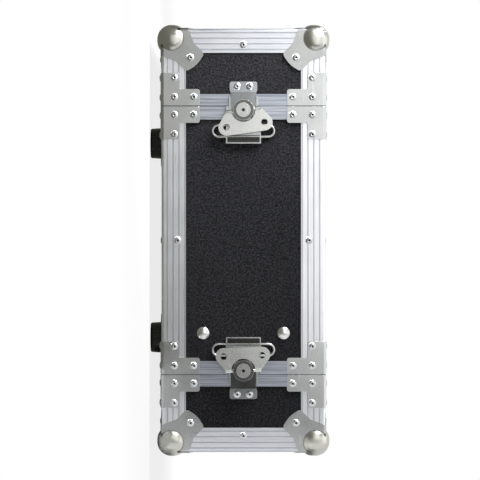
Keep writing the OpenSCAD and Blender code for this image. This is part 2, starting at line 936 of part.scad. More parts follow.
module latch_base() {
    difference() {
        union() {
            translate([-base_front, -base_w / 2, 0]) cube([base_front + base_step + base_t, base_w, base_t]);
            translate([base_step, -base_w / 2, -latch_drop]) cube([base_t, base_w, latch_drop + base_t]);
            translate([base_step, -base_w / 2, -latch_drop]) cube([base_far - base_step, base_w, base_t]);
            for (v = sides) {
                translate([-guide_front, v > 0 ? guide_in : -guide_in - guide_t, air])
                    cube([guide_front + guide_back, guide_t, guide_top - air]);
                translate([-base_front, v > 0 ? stop_in : -stop_in - stop_t, 0])
                    cube([base_front + stop_back, stop_t, guide_top]);
            }
            translate([channel_u, -base_w / 2, -latch_drop])
                cube([base_far - channel_u, base_w, channel_h]);
        }
        translate([channel_u - over, channel_wall - base_w / 2, base_t - latch_drop])
            cube([base_far - channel_u - channel_wall + over, base_w - 2 * channel_wall, channel_h]);
        translate([wire_u + wire_arc, 0, wire_z])
            rotate([90, 0, 0]) cylinder(r = wire_r + run_play, h = base_w + 2 * over, center = true);
        translate([0, 0, -over]) cylinder(r = shaft_r + run_play, h = base_t + 2 * over);
        base_rivet_places() rivet_hole();
    }
    translate([wire_u + wire_arc + wire_r + air, channel_wall - base_w / 2, -latch_drop])
        cube([channel_rib, base_w - 2 * channel_wall, channel_h - channel_wall]);
}

module latch_wire() {
    run = wire_w - wire_h;
    for (side = sides) {
        translate([wire_u + side * wire_arc, 0, wire_z])
            rotate([90, 0, 0]) cylinder(r = wire_r, h = run, center = true);
        translate([wire_u, side * run / 2, wire_z])
            intersection() {
                rotate_extrude() translate([wire_arc, 0]) circle(wire_r);
                translate([-wire_h, side > 0 ? 0 : -wire_h, -wire_r - over])
                    cube([2 * wire_h, wire_h, 2 * (wire_r + over)]);
            }
    }
}

module latch_draw_plate() {
    window_v = disc_r + disc_off + air;
    window_u = disc_r + disc_play;
    back = disc_off + window_u + draw_bar;
    difference() {
        union() {
            translate([-claw_u, -draw_w / 2, draw_z]) cube([claw_u + back, draw_w, draw_t]);
            translate([-claw_u, -draw_w / 2, claw_z]) cube([claw_t, draw_w, draw_z + draw_t - claw_z]);
        }
        translate([disc_off - window_u, -window_v, draw_z - over])
            cube([2 * window_u, 2 * window_v, draw_t + 2 * over]);
        translate([-dent_u, 0, draw_z + draw_t - dent_h]) difference() {
            cylinder(r = dent_r, h = dent_h + over);
            translate([-dent_r / 2, 0, -over]) cylinder(r = dent_r, h = dent_h + 3 * over);
        }
    }
}

module latch_rotor() {
    difference() {
        union() {
            translate([0, 0, run_play]) cylinder(r = shaft_r, h = disc_z);
            translate([disc_off, 0, disc_z]) cylinder(r = disc_r, h = head_z - disc_z);
            translate([0, 0, head_z]) cylinder(r = neck_r, h = cap_z - head_z);
            translate([0, 0, pin_z]) rotate([90, 0, 0])
                cylinder(r = lug_r, h = 2 * lug_v, center = true);
            translate([0, 0, cap_z]) cylinder(r = cap_r, h = cap_t);
            translate([0, 0, cap_z + cap_t]) cylinder(r = button_r, h = button_h);
        }
        translate([0, 0, pin_z]) rotate([90, 0, 0])
            cylinder(r = pin_r + run_play, h = 2 * (lug_v + over), center = true);
        translate([0, 0, cap_z + cap_t + button_h - dimple_h]) difference() {
            cylinder(r = button_r - button_rim, h = dimple_h + over);
            translate([0, 0, -over]) cylinder(r = dimple_r, h = 2 * dimple_h + over);
        }
    }
}

module latch_pin() {
    translate([0, 0, pin_z]) rotate([90, 0, 0])
        cylinder(r = pin_r, h = 2 * wing_root_v, center = true);
}

// Outline of the wings: two round ears joined by a straight edge, tapering to the hinge
module wing_outline() {
    ear_u = wing_reach - wing_corner_r;
    rise = wing_hole_v - wing_root_v;
    far = sqrt(ear_u * ear_u + rise * rise);
    aim = atan2(rise, ear_u) + asin(wing_corner_r / far);
    side = sqrt(far * far - wing_corner_r * wing_corner_r);
    touch = [side * cos(aim), wing_root_v + side * sin(aim)];
    difference() {
        union() {
            polygon([[0, wing_root_v], touch, [ear_u, wing_hole_v], [wing_reach, wing_hole_v],
                     [wing_reach, -wing_hole_v], [ear_u, -wing_hole_v], [touch[0], -touch[1]],
                     [0, -wing_root_v]]);
            for (v = sides) translate([ear_u, v * wing_hole_v]) circle(wing_corner_r);
        }
        circle(wing_cut_r, $fn = 96);
        for (v = sides) translate([wing_hole_u, v * wing_hole_v]) circle(wing_hole_r);
    }
}
module latch_wings() {
    knuckle_v = lug_v + air;
    difference() {
        union() {
            translate([0, 0, wing_z]) linear_extrude(wing_t) wing_outline();
            for (v = sides)
                translate([0, v * (knuckle_v + wing_root_v) / 2, pin_z]) rotate([90, 0, 0])
                    cylinder(r = ear_r, h = wing_root_v - knuckle_v, center = true);
        }
        translate([0, 0, pin_z]) rotate([90, 0, 0])
            cylinder(r = pin_r + run_play, h = 2 * (wing_root_v + over), center = true);
    }
}

// The keeper on a lid, drawn in the frame of its latch
module keeper() {
    floor_z = -latch_drop;
    top_z = base_t - latch_drop;
    translate([0, 0, floor_z]) linear_extrude(base_t) mirror([1, 0]) difference() {
        union() {
            polygon([[keeper_front, -keeper_neck_w / 2], [keeper_front, keeper_neck_w / 2],
                     [keeper_neck_u, keeper_w / 2], [keeper_end - keeper_r, keeper_w / 2],
                     [keeper_end - keeper_r, -keeper_w / 2], [keeper_neck_u, -keeper_w / 2]]);
            translate([keeper_end - keeper_r, keeper_r - keeper_w / 2])
                square([keeper_r, keeper_w - 2 * keeper_r]);
            for (v = sides)
                translate([keeper_end - keeper_r, v * (keeper_w / 2 - keeper_r)]) circle(keeper_r);
        }
        for (v = sides) translate([keeper_rivet_u, v * keeper_rivet_v]) circle(rivet_r + hole_play);
    }
    translate([0, keeper_neck_w / 2, 0]) rotate([90, 0, 0]) linear_extrude(keeper_neck_w)
        polygon([[-keeper_front - lip_root, floor_z], [-keeper_front, floor_z],
                 [-keeper_front, lip_rise], [lip_t - lip_out, lip_rise], [lip_t - lip_out, lip_z],
                 [-lip_out, lip_z], [-lip_out, lip_rise + base_t / 2],
                 [-keeper_front - lip_root, top_z]]);
}
module keepers(sy) {
    color(steel_c) for (sx = sides) at_latch(sx, sy) keeper();
}

// The turn of a latch's rotor and wings from their closed stop
function turn_of(sx, sy) = sx > 0 ? 0 : sy > 0 ? rear_left_turn : front_left_turn;

// One piece of one latch, in its place
module latch_piece(sx, sy, piece) {
    color(piece == "draw_plate" ? plate_c : steel_c) at_latch(sx, sy) {
        if (piece == "base") latch_base();
        if (piece == "wire") latch_wire();
        if (piece == "draw_plate") latch_draw_plate();
        rotate([0, 0, turn_of(sx, sy)]) {
            if (piece == "rotor") latch_rotor();
            if (piece == "wings") latch_wings();
            if (piece == "pin") latch_pin();
        }
    }
}

body_level_panel(1);  // body_top_panel
body_level_panel(-1);  // body_bottom_panel
body_side_panel(-1);  // body_left_panel
body_side_panel(1);  // body_right_panel
body_edge_extrusions();
frame_ring(-1, -1);  // body_front_frame
frame_ring(1, -1);  // body_rear_frame
body_corner_braces();
body_rivets();
rubber_feet();
foot_washers();
foot_screws();
rack_rail(-1);  // left_rack_rail
rack_rail(1);  // right_rack_rail
rail_bolts();
rail_nuts();
lid_panel(-1);  // front_lid_panel
lid_walls(-1);  // front_lid_walls
lid_face_extrusions(-1);  // front_lid_face_extrusions
lid_depth_extrusions(-1);  // front_lid_depth_extrusions
frame_ring(-1, 1);  // front_lid_frame
lid_ball_corners(-1);  // front_lid_ball_corners
braces(-1, 1);  // front_lid_corner_braces
lid_rivets(-1);  // front_lid_rivets
keepers(-1);  // front_lid_keepers
lid_panel(1);  // rear_lid_panel
lid_walls(1);  // rear_lid_walls
lid_face_extrusions(1);  // rear_lid_face_extrusions
lid_depth_extrusions(1);  // rear_lid_depth_extrusions
frame_ring(1, 1);  // rear_lid_frame
lid_ball_corners(1);  // rear_lid_ball_corners
braces(1, 1);  // rear_lid_corner_braces
lid_rivets(1);  // rear_lid_rivets
keepers(1);  // rear_lid_keepers
latch_base_rivets();
latch_piece(-1, -1, "base");  // front_left_latch_base
latch_piece(-1, -1, "wire");  // front_left_latch_wire
latch_piece(-1, -1, "draw_plate");  // front_left_latch_draw_plate
latch_piece(-1, -1, "rotor");  // front_left_latch_rotor
latch_piece(-1, -1, "wings");  // front_left_latch_wings
latch_piece(-1, -1, "pin");  // front_left_latch_pin
latch_piece(1, -1, "base");  // front_right_latch_base
latch_piece(1, -1, "wire");  // front_right_latch_wire
latch_piece(1, -1, "draw_plate");  // front_right_latch_draw_plate
latch_piece(1, -1, "rotor");  // front_right_latch_rotor
latch_piece(1, -1, "wings");  // front_right_latch_wings
latch_piece(1, -1, "pin");  // front_right_latch_pin
latch_piece(-1, 1, "base");  // rear_left_latch_base
latch_piece(-1, 1, "wire");  // rear_left_latch_wire
latch_piece(-1, 1, "draw_plate");  // rear_left_latch_draw_plate
latch_piece(-1, 1, "rotor");  // rear_left_latch_rotor
latch_piece(-1, 1, "wings");  // rear_left_latch_wings
latch_piece(-1, 1, "pin");  // rear_left_latch_pin
latch_piece(1, 1, "base");  // rear_right_latch_base
latch_piece(1, 1, "wire");  // rear_right_latch_wire
latch_piece(1, 1, "draw_plate");  // rear_right_latch_draw_plate
latch_piece(1, 1, "rotor");  // rear_right_latch_rotor
latch_piece(1, 1, "wings");  // rear_right_latch_wings
latch_piece(1, 1, "pin");  // rear_right_latch_pin
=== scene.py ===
"""Looks of a low flight rack case: two lift-off lids, butterfly latches, ball corners, rubber feet.

Lengths are metres in the construction model's frame: X is the rack's width, -Y the front, +Z up.
"""
import json
import logging
import math
from dataclasses import dataclass, field
from enum import Enum
from typing import Callable, Sequence, Union

import bmesh
import bpy
from mathutils import Matrix, Vector

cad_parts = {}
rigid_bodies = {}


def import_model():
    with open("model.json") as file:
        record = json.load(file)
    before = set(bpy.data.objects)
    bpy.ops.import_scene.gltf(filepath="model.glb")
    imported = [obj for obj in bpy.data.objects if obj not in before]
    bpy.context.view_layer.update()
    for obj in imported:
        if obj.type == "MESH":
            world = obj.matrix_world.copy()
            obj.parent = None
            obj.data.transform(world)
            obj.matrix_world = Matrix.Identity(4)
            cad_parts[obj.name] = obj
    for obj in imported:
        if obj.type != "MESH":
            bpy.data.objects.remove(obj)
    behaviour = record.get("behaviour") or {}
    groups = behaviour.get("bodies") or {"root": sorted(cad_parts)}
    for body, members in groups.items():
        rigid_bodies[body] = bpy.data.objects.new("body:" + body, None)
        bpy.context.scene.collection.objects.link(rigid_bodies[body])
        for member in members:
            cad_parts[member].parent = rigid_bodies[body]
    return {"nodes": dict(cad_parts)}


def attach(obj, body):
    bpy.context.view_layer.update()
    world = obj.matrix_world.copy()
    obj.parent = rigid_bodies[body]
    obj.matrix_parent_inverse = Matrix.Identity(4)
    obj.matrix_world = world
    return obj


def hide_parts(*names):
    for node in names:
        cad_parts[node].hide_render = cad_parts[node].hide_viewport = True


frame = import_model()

LOG = logging.getLogger("rack_case")
MM = 0.001
# Half of the case's width, depth and height, and the height of its middle
HALF_W, HALF_D, HALF_H, MID_Z = 255.5 * MM, 261.0 * MM, 101.0 * MM, 116.0 * MM
# How far the joint faces are from the middle, and a latch's axis from its joint face
JOINT_Y, AXIS_IN = 165.5 * MM, 5.4 * MM
# How deep the middle of a ball corner is below the three faces
BALL_DEEP = 12.0 * MM
SIDES = (-1, 1)
Material = bpy.types.Material
Piece = bpy.types.Object


def srgb(*channels: int) -> tuple:
    """Turns a display colour into a linear one.

    Args:
        *channels: Red, green and blue from 0 to 255.

    Returns:
        Linear red, green, blue and an alpha of 1.
    """
    shares = [channel / 255 for channel in channels]
    return (*(share / 12.92 if share <= 0.04045 else ((share + 0.055) / 1.055) ** 2.4
              for share in shares), 1.0)


# Shader maths


@dataclass(frozen=True)
class Wire:
    """An output socket that can be added, multiplied and so on."""

    graph: "NodeMaker"
    socket: bpy.types.NodeSocket

    def _math(self, operation: str, first: "Value", second: "Value") -> "Wire":
        """Adds one Math node."""
        return self.graph.node("ShaderNodeMath", {"operation": operation}, {0: first, 1: second})

    def __add__(self, other: "Value") -> "Wire":
        """Sum."""
        return self._math("ADD", self, other)

    __radd__ = __add__

    def __sub__(self, other: "Value") -> "Wire":
        """Difference."""
        return self._math("SUBTRACT", self, other)

    def __rsub__(self, other: "Value") -> "Wire":
        """Reflected difference."""
        return self._math("SUBTRACT", other, self)

    def __mul__(self, other: "Value") -> "Wire":
        """Product."""
        return self._math("MULTIPLY", self, other)

    __rmul__ = __mul__

    def __truediv__(self, other: "Value") -> "Wire":
        """Quotient."""
        return self._math("DIVIDE", self, other)

    def __rtruediv__(self, other: "Value") -> "Wire":
        """Reflected quotient."""
        return self._math("DIVIDE", other, self)

    def __pow__(self, other: "Value") -> "Wire":
        """Power."""
        return self._math("POWER", self, other)

    def __lt__(self, other: "Value") -> "Wire":
        """1 where this is smaller."""
        return self._math("LESS_THAN", self, other)

    def __gt__(self, other: "Value") -> "Wire":
        """1 where this is larger."""
        return self._math("GREATER_THAN", self, other)

    def __abs__(self) -> "Wire":
        """Absolute value."""
        return self._math("ABSOLUTE", self, 0.0)

    def least(self, other: "Value") -> "Wire":
        """The smaller of two."""
        return self._math("MINIMUM", self, other)

    def most(self, other: "Value") -> "Wire":
        """The larger of two."""
        return self._math("MAXIMUM", self, other)

    def fit(self, low: float, high: float, to_low: float = 0.0, to_high: float = 1.0) -> "Wire":
        """Maps low and high to to_low and to_high, smoothly between them and clamped outside."""
        return self.graph.node("ShaderNodeMapRange", {"interpolation_type": "SMOOTHSTEP"},
                               {0: self, 1: low, 2: high, 3: to_low, 4: to_high})


Value = Union[Wire, float, int, tuple]


class NodeMaker:
    """A node tree whose sockets are handed out as wires."""

    def __init__(self, tree: bpy.types.NodeTree) -> None:
        """Takes the tree that nodes are added to."""
        self.tree = tree

    def node(self, kind: str, settings: dict | None = None, inputs: dict | None = None,
             output: Union[int, str] = 0) -> Wire:
        """Adds any node.

        Args:
            kind: The node's type.
            settings: Properties set before the sockets.
            inputs: Values or wires by socket name or number.
            output: Which output to return.

        Returns:
            The chosen output.
        """
        added = self.tree.nodes.new(kind)
        for key, value in (settings or {}).items():
            setattr(added, key, value)
        for key, value in (inputs or {}).items():
            if isinstance(value, Wire):
                self.tree.links.new(value.socket, added.inputs[key])
            else:
                added.inputs[key].default_value = value
        return Wire(self, added.outputs[output] if added.outputs else None)

    def parts(self, vector: Wire) -> list[Wire]:
        """The three coordinates of a vector."""
        outputs = self.node("ShaderNodeSeparateXYZ", None, {0: vector}).socket.node.outputs
        return [Wire(self, socket) for socket in outputs]

    def joined(self, parts: Sequence["Value"]) -> Wire:
        """The vector of three coordinates."""
        return self.node("ShaderNodeCombineXYZ", None, dict(enumerate(parts)))


class Graph(NodeMaker):
    """A material's node tree, with a surface shader and helpers for its patterns."""

    def __init__(self, name: str) -> None:
        """Starts an empty material.

        Args:
            name: Name of the material.
        """
        self.material = bpy.data.materials.new(name)
        self.material.use_nodes = True
        super().__init__(self.material.node_tree)
        self.tree.nodes.clear()
        self._place: Wire | None = None

    @property
    def place(self) -> Wire:
        """The point on the piece.

        Returns:
            The point in metres, from one node that is shared.
        """
        if self._place is None:
            self._place = self.node("ShaderNodeTexCoord", output="Object")
        return self._place

    def axis(self, index: int) -> Wire:
        """One coordinate of the point on the piece."""
        return self.node("ShaderNodeSeparateXYZ", None, {0: self.place}, index)

    def stretched(self, scale: Sequence[float]) -> Wire:
        """The point with each axis scaled by itself."""
        return self.node("ShaderNodeVectorMath", {"operation": "MULTIPLY"},
                         {0: self.place, 1: tuple(scale)})

    def noise(self, scale: float, detail: float = 2.0, vector: Wire | None = None,
              rough: float = 0.5) -> Wire:
        """Noise from 0 to 1.

        Args:
            scale: Cells in a metre.
            detail: Octaves.
            vector: The point it is read at; the piece's own by default.
            rough: Strength of each finer octave.

        Returns:
            The noise.
        """
        return self.node("ShaderNodeTexNoise", None,
                         {"Vector": vector or self.place, "Scale": scale, "Detail": detail,
                          "Roughness": rough})

    def mix(self, share: Value, first: Value, second: Value) -> Wire:
        """Mixes two colours."""
        return self.node("ShaderNodeMix", {"data_type": "RGBA"}, {0: share, 6: first, 7: second}, 2)

    def bump(self, height: Wire, distance: float, strength: float = 1.0) -> Wire:
        """A bumped normal; a height of 1 stands for the distance, in metres."""
        return self.node("ShaderNodeBump", None,
                         {"Height": height, "Distance": distance, "Strength": strength})

    def finish(self, **sockets: Value) -> Material:
        """Adds the surface shader and the output.

        Args:
            **sockets: Values of the shader by socket name, with _ for a space.

        Returns:
            The finished material.
        """
        shader = self.node("ShaderNodeBsdfPrincipled", None,
                           {key.replace("_", " "): value for key, value in sockets.items()})
        self.node("ShaderNodeOutputMaterial", None, {"Surface": shader})
        return self.material


class Grain(Enum):
    """Which way a metal's drawing lines run."""

    DEPTH = (1.0, 0.02, 1.0)
    HEIGHT = (1.0, 1.0, 0.02)


@dataclass(frozen=True)
class Laminate:
    """Black phenolic laminate with a pebbled grain."""

    name: str = "black_laminate"
    dark: tuple = srgb(15, 15, 16)
    light: tuple = srgb(60, 60, 64)
    pebbles: float = 620.0
    relief: float = 0.12 * MM
    roughness: float = 0.5
    sheen: float = 0.06

    def material(self) -> Material:
        """Builds the material.

        Returns:
            The material.
        """
        g = Graph(self.name)
        cells = g.node("ShaderNodeTexVoronoi", {"feature": "SMOOTH_F1"},
                       {"Vector": g.place, "Scale": self.pebbles, "Smoothness": 0.5})
        blotch = g.noise(self.pebbles * 0.75, 3.0, rough=0.6)
        fine = g.noise(self.pebbles * 3.0)
        cloud = g.noise(9.0, 4.0)
        rub = g.noise(60.0, 5.0, g.stretched((1.0, 0.25, 1.0)), 0.7).fit(0.62, 0.8)
        tone = (blotch.fit(0.36, 0.68) * 0.55 + (1.0 - cells) * 0.2 + cloud * 0.2 + rub * 0.1)
        return g.finish(Base_Color=g.mix(tone.fit(0.0, 1.0), self.dark, self.light),
                        Roughness=(self.roughness + fine * 0.12 - rub * 0.06),
                        Specular_IOR_Level=self.sheen,
                        Normal=g.bump(cells * 0.6 + fine * 0.4, self.relief))


class Bars(Enum):
    """Which bars a finish is for, with the first groove's place and the grooves' spacing."""

    DEPTH = (7.1 * MM, 7.2 * MM)
    FACE = (5.2 * MM, 6.9 * MM)
    FRAME = None


@dataclass(frozen=True)
class DrawnAluminium:
    """Anodised aluminium drawn along one axis, with dust and painted shade in its grooves."""

    name: str
    grain: Grain
    bars: Bars = Bars.DEPTH
    dull: tuple = srgb(214, 216, 221)
    bright: tuple = srgb(243, 244, 247)
    # Colour of the grooves: dust, with painted shade in their hollows
    dust: tuple = srgb(136, 139, 147)
    # Colour at the joint: painted shadow in the gap, with dirt
    shade: tuple = srgb(58, 60, 64)
    roughness: float = 0.32
    streaks: float = 1800.0
    groove_dust_and_shade: float = 0.45
    groove: tuple = (0.3 * MM, 1.1 * MM)
    joint: tuple = (0.4 * MM, 0.9 * MM)

    def across(self, g: Graph) -> Wire:
        """The distance from the case's outer edge, across the bar.

        Args:
            g: The material's graph.

        Returns:
            The distance in metres.
        """
        x = HALF_W - abs(g.axis(0))
        y = HALF_D - abs(g.axis(1))
        z = HALF_H - abs(g.axis(2) - MID_Z)
        return x.most(z) if self.bars is Bars.DEPTH else y.most(x.least(z))

    def grooves(self, g: Graph) -> Wire:
        """How far a point lies in a groove.

        Args:
            g: The material's graph.

        Returns:
            1 in a groove, 0 away from it.
        """
        first, pitch = self.bars.value
        steps = (self.across(g) - (first - pitch / 2)) / pitch
        off = abs(g.node("ShaderNodeMath", {"operation": "FRACT"}, {0: steps}) - 0.5) * pitch
        return 1.0 - off.fit(*self.groove)

    def material(self) -> Material:
        """Builds the material.

        Returns:
            The material.
        """
        g = Graph(self.name)
        lines = g.noise(self.streaks, 2.0, g.stretched(self.grain.value))
        wide = g.noise(430.0, 3.0, g.stretched(self.grain.value), 0.6)
        cloud = g.noise(22.0, 3.0)
        speck = g.noise(2600.0, 1.0)
        if self.bars is Bars.FRAME:
            tone = (wide * 0.75 + lines * 0.25).fit(0.36, 0.62)
        else:
            tone = (lines * 0.4 + wide * 0.3 + cloud * 0.3).fit(0.3, 0.72)
        colour = g.mix(tone, self.dull, self.bright)
        if self.bars is not Bars.FRAME:
            # Grooves: dust, and painted shade in their hollows
            colour = g.mix(self.grooves(g) * self.groove_dust_and_shade, colour, self.dust)
        # Painted shadow in the joint gap, with dirt
        joint = 1.0 - abs(abs(g.axis(1)) - JOINT_Y).fit(*self.joint)
        return g.finish(Base_Color=g.mix(joint * 0.6, colour, self.shade), Metallic=0.92,
                        Roughness=(self.roughness + (lines - 0.5) * 0.2 + (speck - 0.5) * 0.06),
                        Normal=g.bump(lines, 0.02 * MM, 0.5))


@dataclass(frozen=True)
class ZincSteel:
    """Zinc-plated pressed steel: an even satin with faint clouds and fine scratches."""

    name: str
    dull: tuple
    bright: tuple
    roughness: float
    relief: float = 0.006 * MM

    def shade(self, g: Graph, colour: Wire) -> Wire:
        """Colours the places that differ from the rest; none here."""
        return colour

    def material(self) -> Material:
        """Builds the material.

        Returns:
            The material.
        """
        g = Graph(self.name)
        cloud = g.noise(34.0, 3.0)
        fine = g.noise(1100.0)
        scratch = g.noise(700.0, 2.0, g.stretched((1.0, 0.05, 0.4))).fit(0.66, 0.74)
        tone = (cloud * 0.5 + fine * 0.4 + scratch * 0.2).fit(0.25, 0.8)
        return g.finish(Base_Color=self.shade(g, g.mix(tone, self.dull, self.bright)), Metallic=1.0,
                        Roughness=(self.roughness + (cloud - 0.5) * 0.05 + (fine - 0.5) * 0.08),
                        Normal=g.bump(fine, self.relief, 0.6))


@dataclass(frozen=True)
class LatchSteel(ZincSteel):
    """Latch steel, with places measured from the latch's axis."""

    def place(self, g: Graph) -> tuple[Wire, Wire, Wire]:
        """How far a point is from the axis: towards the case's middle, across, and outwards."""
        return (JOINT_Y - AXIS_IN) - abs(g.axis(1)), g.axis(2) - MID_Z, abs(g.axis(0)) - HALF_W


@dataclass(frozen=True)
class TurnedSteel(LatchSteel):
    """The cap: a turned button, with painted shade on the ring round it and in its dimple."""

    # Painted shade: on the ring (its colour also lines the button) and in the dimple
    ring_shade: tuple = srgb(74, 75, 72)
    pit_shade: tuple = srgb(38, 36, 34)
    pit_edge: tuple = (1.5 * MM, 2.4 * MM)
    button_edge: tuple = (7.8 * MM, 8.4 * MM)
    ring_inside: tuple = (8.6 * MM, 9.0 * MM)
    ring_outside: tuple = (12.3 * MM, 12.7 * MM)
    ring_strength: float = 0.85

    def shade(self, g: Graph, colour: Wire) -> Wire:
        """Paints shade on the ring and in the dimple.

        Args:
            g: The material's graph.
            colour: The plain colour.

        Returns:
            The colour.
        """
        u, v, _ = self.place(g)
        off = (u * u + v * v) ** 0.5
        # Masks of the painted shade on the ring and in the dimple
        ring_shade = off.fit(*self.ring_inside) * (1.0 - off.fit(*self.ring_outside))
        pit_shade = 1.0 - off.fit(*self.pit_edge)
        turned = g.node("ShaderNodeTexWave", {"wave_type": "RINGS", "rings_direction": "SPHERICAL"},
                        {"Vector": g.joined((0.0, u, v)), "Scale": 330.0, "Distortion": 1.5,
                         "Detail": 1.0}, 1)
        lined = g.mix(turned * 0.35 * (1.0 - off.fit(*self.button_edge)), colour, self.ring_shade)
        return g.mix(pit_shade, g.mix(ring_shade * self.ring_strength, lined, self.ring_shade), self.pit_shade)


@dataclass(frozen=True)
class BaseSteel(LatchSteel):
    """The latch base, with painted shade on the floor of its hinge channel."""

    # Colour and strength of the painted shade on the channel floor
    channel_shade: tuple = srgb(34, 33, 28)
    channel: tuple = (30.5 * MM, 39.4 * MM)
    channel_half: float = 19.9 * MM
    floor: tuple = (3.6 * MM, 5.2 * MM)
    strength: float = 0.92

    def shade(self, g: Graph, colour: Wire) -> Wire:
        """Paints shade on the floor of the channel.

        Args:
            g: The material's graph.
            colour: The plain colour.

        Returns:
            The colour.
        """
        u, v, h = self.place(g)
        inside = (u > self.channel[0]) * (u < self.channel[1]) * (abs(v) < self.channel_half)
        low = 1.0 - h.fit(*self.floor)
        # Painted shade on the channel floor
        return g.mix(inside * low * self.strength, colour, self.channel_shade)


@dataclass(frozen=True)
class LegSteel(ZincSteel):
    """Legs of a ball corner, with painted shade round the foot of the ball."""

    # Colour and strength of the painted shade round the foot of the ball
    foot_shade: tuple = srgb(58, 58, 54)
    foot_shade_edge: tuple = (19.6 * MM, 20.8 * MM)
    strength: float = 0.8

    def shade(self, g: Graph, colour: Wire) -> Wire:
        """Paints shade round the foot of the ball.

        Args:
            g: The material's graph.
            colour: The plain colour.

        Returns:
            The colour.
        """
        away = [abs(g.axis(0)) - (HALF_W - BALL_DEEP), abs(g.axis(1)) - (HALF_D - BALL_DEEP),
                abs(g.axis(2) - MID_Z) - (HALF_H - BALL_DEEP)]
        off = sum((part * part for part in away), 0.0) ** 0.5
        # Painted shade where the ball meets its legs
        return g.mix((1.0 - off.fit(*self.foot_shade_edge)) * self.strength, colour, self.foot_shade)


@dataclass(frozen=True)
class RivetMetal:
    """Plain aluminium of a blind rivet, with painted shade in its hole."""

    name: str = "rivet_metal"
    dull: tuple = srgb(188, 190, 193)
    bright: tuple = srgb(214, 216, 219)
    # Colour of the painted shade in the hole
    pit_shade: tuple = srgb(20, 20, 22)
    roughness: float = 0.24

    def material(self) -> Material:
        """Builds the material.

        Returns:
            The material.
        """
        g = Graph(self.name)
        pit_shade = g.node("ShaderNodeAttribute", {"attribute_name": "pit_shade"}, None, "Fac")
        fine = g.noise(1400.0)
        # Painted shade in the hole, marked by the rivet heads
        return g.finish(Base_Color=g.mix(pit_shade, g.mix(fine, self.dull, self.bright), self.pit_shade),
                        Metallic=(1.0 - pit_shade) * 0.95,
                        Roughness=(self.roughness + fine * 0.12 + pit_shade * 0.4),
                        Normal=g.bump(fine, 0.02 * MM, 0.5))


@dataclass(frozen=True)
class FootRubber:
    """Satin black rubber with a moulded grain and dust."""

    name: str = "foot_rubber"
    dark: tuple = srgb(24, 24, 25)
    dusty: tuple = srgb(44, 43, 42)
    roughness: float = 0.24

    def material(self) -> Material:
        """Builds the material.

        Returns:
            The material.
        """
        g = Graph(self.name)
        fine = g.noise(1600.0)
        dust = g.noise(130.0, 5.0, rough=0.7).fit(0.5, 0.8)
        return g.finish(Base_Color=g.mix(dust, self.dark, self.dusty),
                        Roughness=(self.roughness + dust * 0.2), Normal=g.bump(fine, 0.02 * MM))


@dataclass(frozen=True)
class PowderCoat:
    """Black powder coat of the rack rails, bright where screws rub."""

    name: str = "powder_coat"
    coat: tuple = srgb(38, 38, 40)
    worn: tuple = srgb(90, 90, 92)
    roughness: float = 0.42

    def material(self) -> Material:
        """Builds the material.

        Returns:
            The material.
        """
        g = Graph(self.name)
        peel = g.noise(1100.0, 3.0)
        wear = g.noise(240.0, 4.0, rough=0.75).fit(0.66, 0.74)
        return g.finish(Base_Color=g.mix(wear, self.coat, self.worn),
                        Roughness=(self.roughness + peel * 0.14), Normal=g.bump(peel, 0.06 * MM))


Finish = Union[Laminate, DrawnAluminium, ZincSteel, RivetMetal, FootRubber, PowderCoat]


# Meshes


def finished(piece: Piece) -> None:
    """Applies a piece's modifiers and drops them.

    Args:
        piece: The piece, which is left with a plain mesh.
    """
    depsgraph = bpy.context.evaluated_depsgraph_get()
    mesh = bpy.data.meshes.new_from_object(piece.evaluated_get(depsgraph), depsgraph=depsgraph)
    old = piece.data
    piece.modifiers.clear()
    piece.data = mesh
    bpy.data.meshes.remove(old)


def new_piece(name: str, mesh: bpy.types.Mesh) -> Piece:
    """Puts a mesh into the scene at the origin.

    Args:
        name: Name of the new piece.
        mesh: Its mesh.

    Returns:
        The piece.
    """
    piece = bpy.data.objects.new(name, mesh)
    bpy.context.scene.collection.objects.link(piece)
    return piece


def dress(piece: Piece, material: Material) -> None:
    """Gives every slot of a piece one material.

    Args:
        piece: The piece.
        material: The material.
    """
    if not piece.material_slots:
        piece.data.materials.append(material)
    for slot in piece.material_slots:
        slot.material = material


@dataclass
class SoftenedPart:
    """A pressed or machined part: the construction node with its sharp edges broken."""

    node: str
    body: str
    finish: Material
    slot: str
    edge: float = 0.3 * MM
    rounds: int = 2
    sharp: float = 34.0
    level: float = 0.4
    flatness: int = 100
    weld: float = 0.002 * MM
    tiny: float = 0.001 * MM
    left_out: Callable[[Vector], bool] | None = None

    def build(self) -> None:
        """Makes the part and lets it stand for its node."""
        mesh = bpy.data.meshes.new(self.node + "_soft")
        soft = bmesh.new()
        soft.from_mesh(frame["nodes"][self.node].data)
        bmesh.ops.remove_doubles(soft, verts=soft.verts, dist=self.weld)
        if self.left_out is not None:
            away = [face for face in soft.faces if self.left_out(face.calc_center_median())]
            bmesh.ops.delete(soft, geom=away, context="FACES")
        bmesh.ops.dissolve_degenerate(soft, dist=self.tiny, edges=soft.edges)
        bmesh.ops.dissolve_limit(soft, angle_limit=math.radians(self.level), verts=soft.verts,
                                 edges=soft.edges)
        soft.to_mesh(mesh)
        soft.free()
        mesh.materials.clear()
        mesh.materials.append(self.finish)
        mesh.shade_smooth()
        piece = new_piece(self.node + "_dressed", mesh)
        bevel = piece.modifiers.new("edge", "BEVEL")
        bevel.width = self.edge
        bevel.segments = self.rounds
        bevel.limit_method = "ANGLE"
        bevel.angle_limit = math.radians(self.sharp)
        bevel.use_clamp_overlap = True
        piece.modifiers.new("flat", "WEIGHTED_NORMAL").weight = self.flatness
        finished(piece)
        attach(piece, self.body)
        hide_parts(self.node)
        LOG.info("softened part %s", piece.name)


# Rivets and ball corners


@dataclass(frozen=True)
class Spot:
    """Where a rivet or a ball stands, and which way it points."""

    place: tuple
    out: tuple


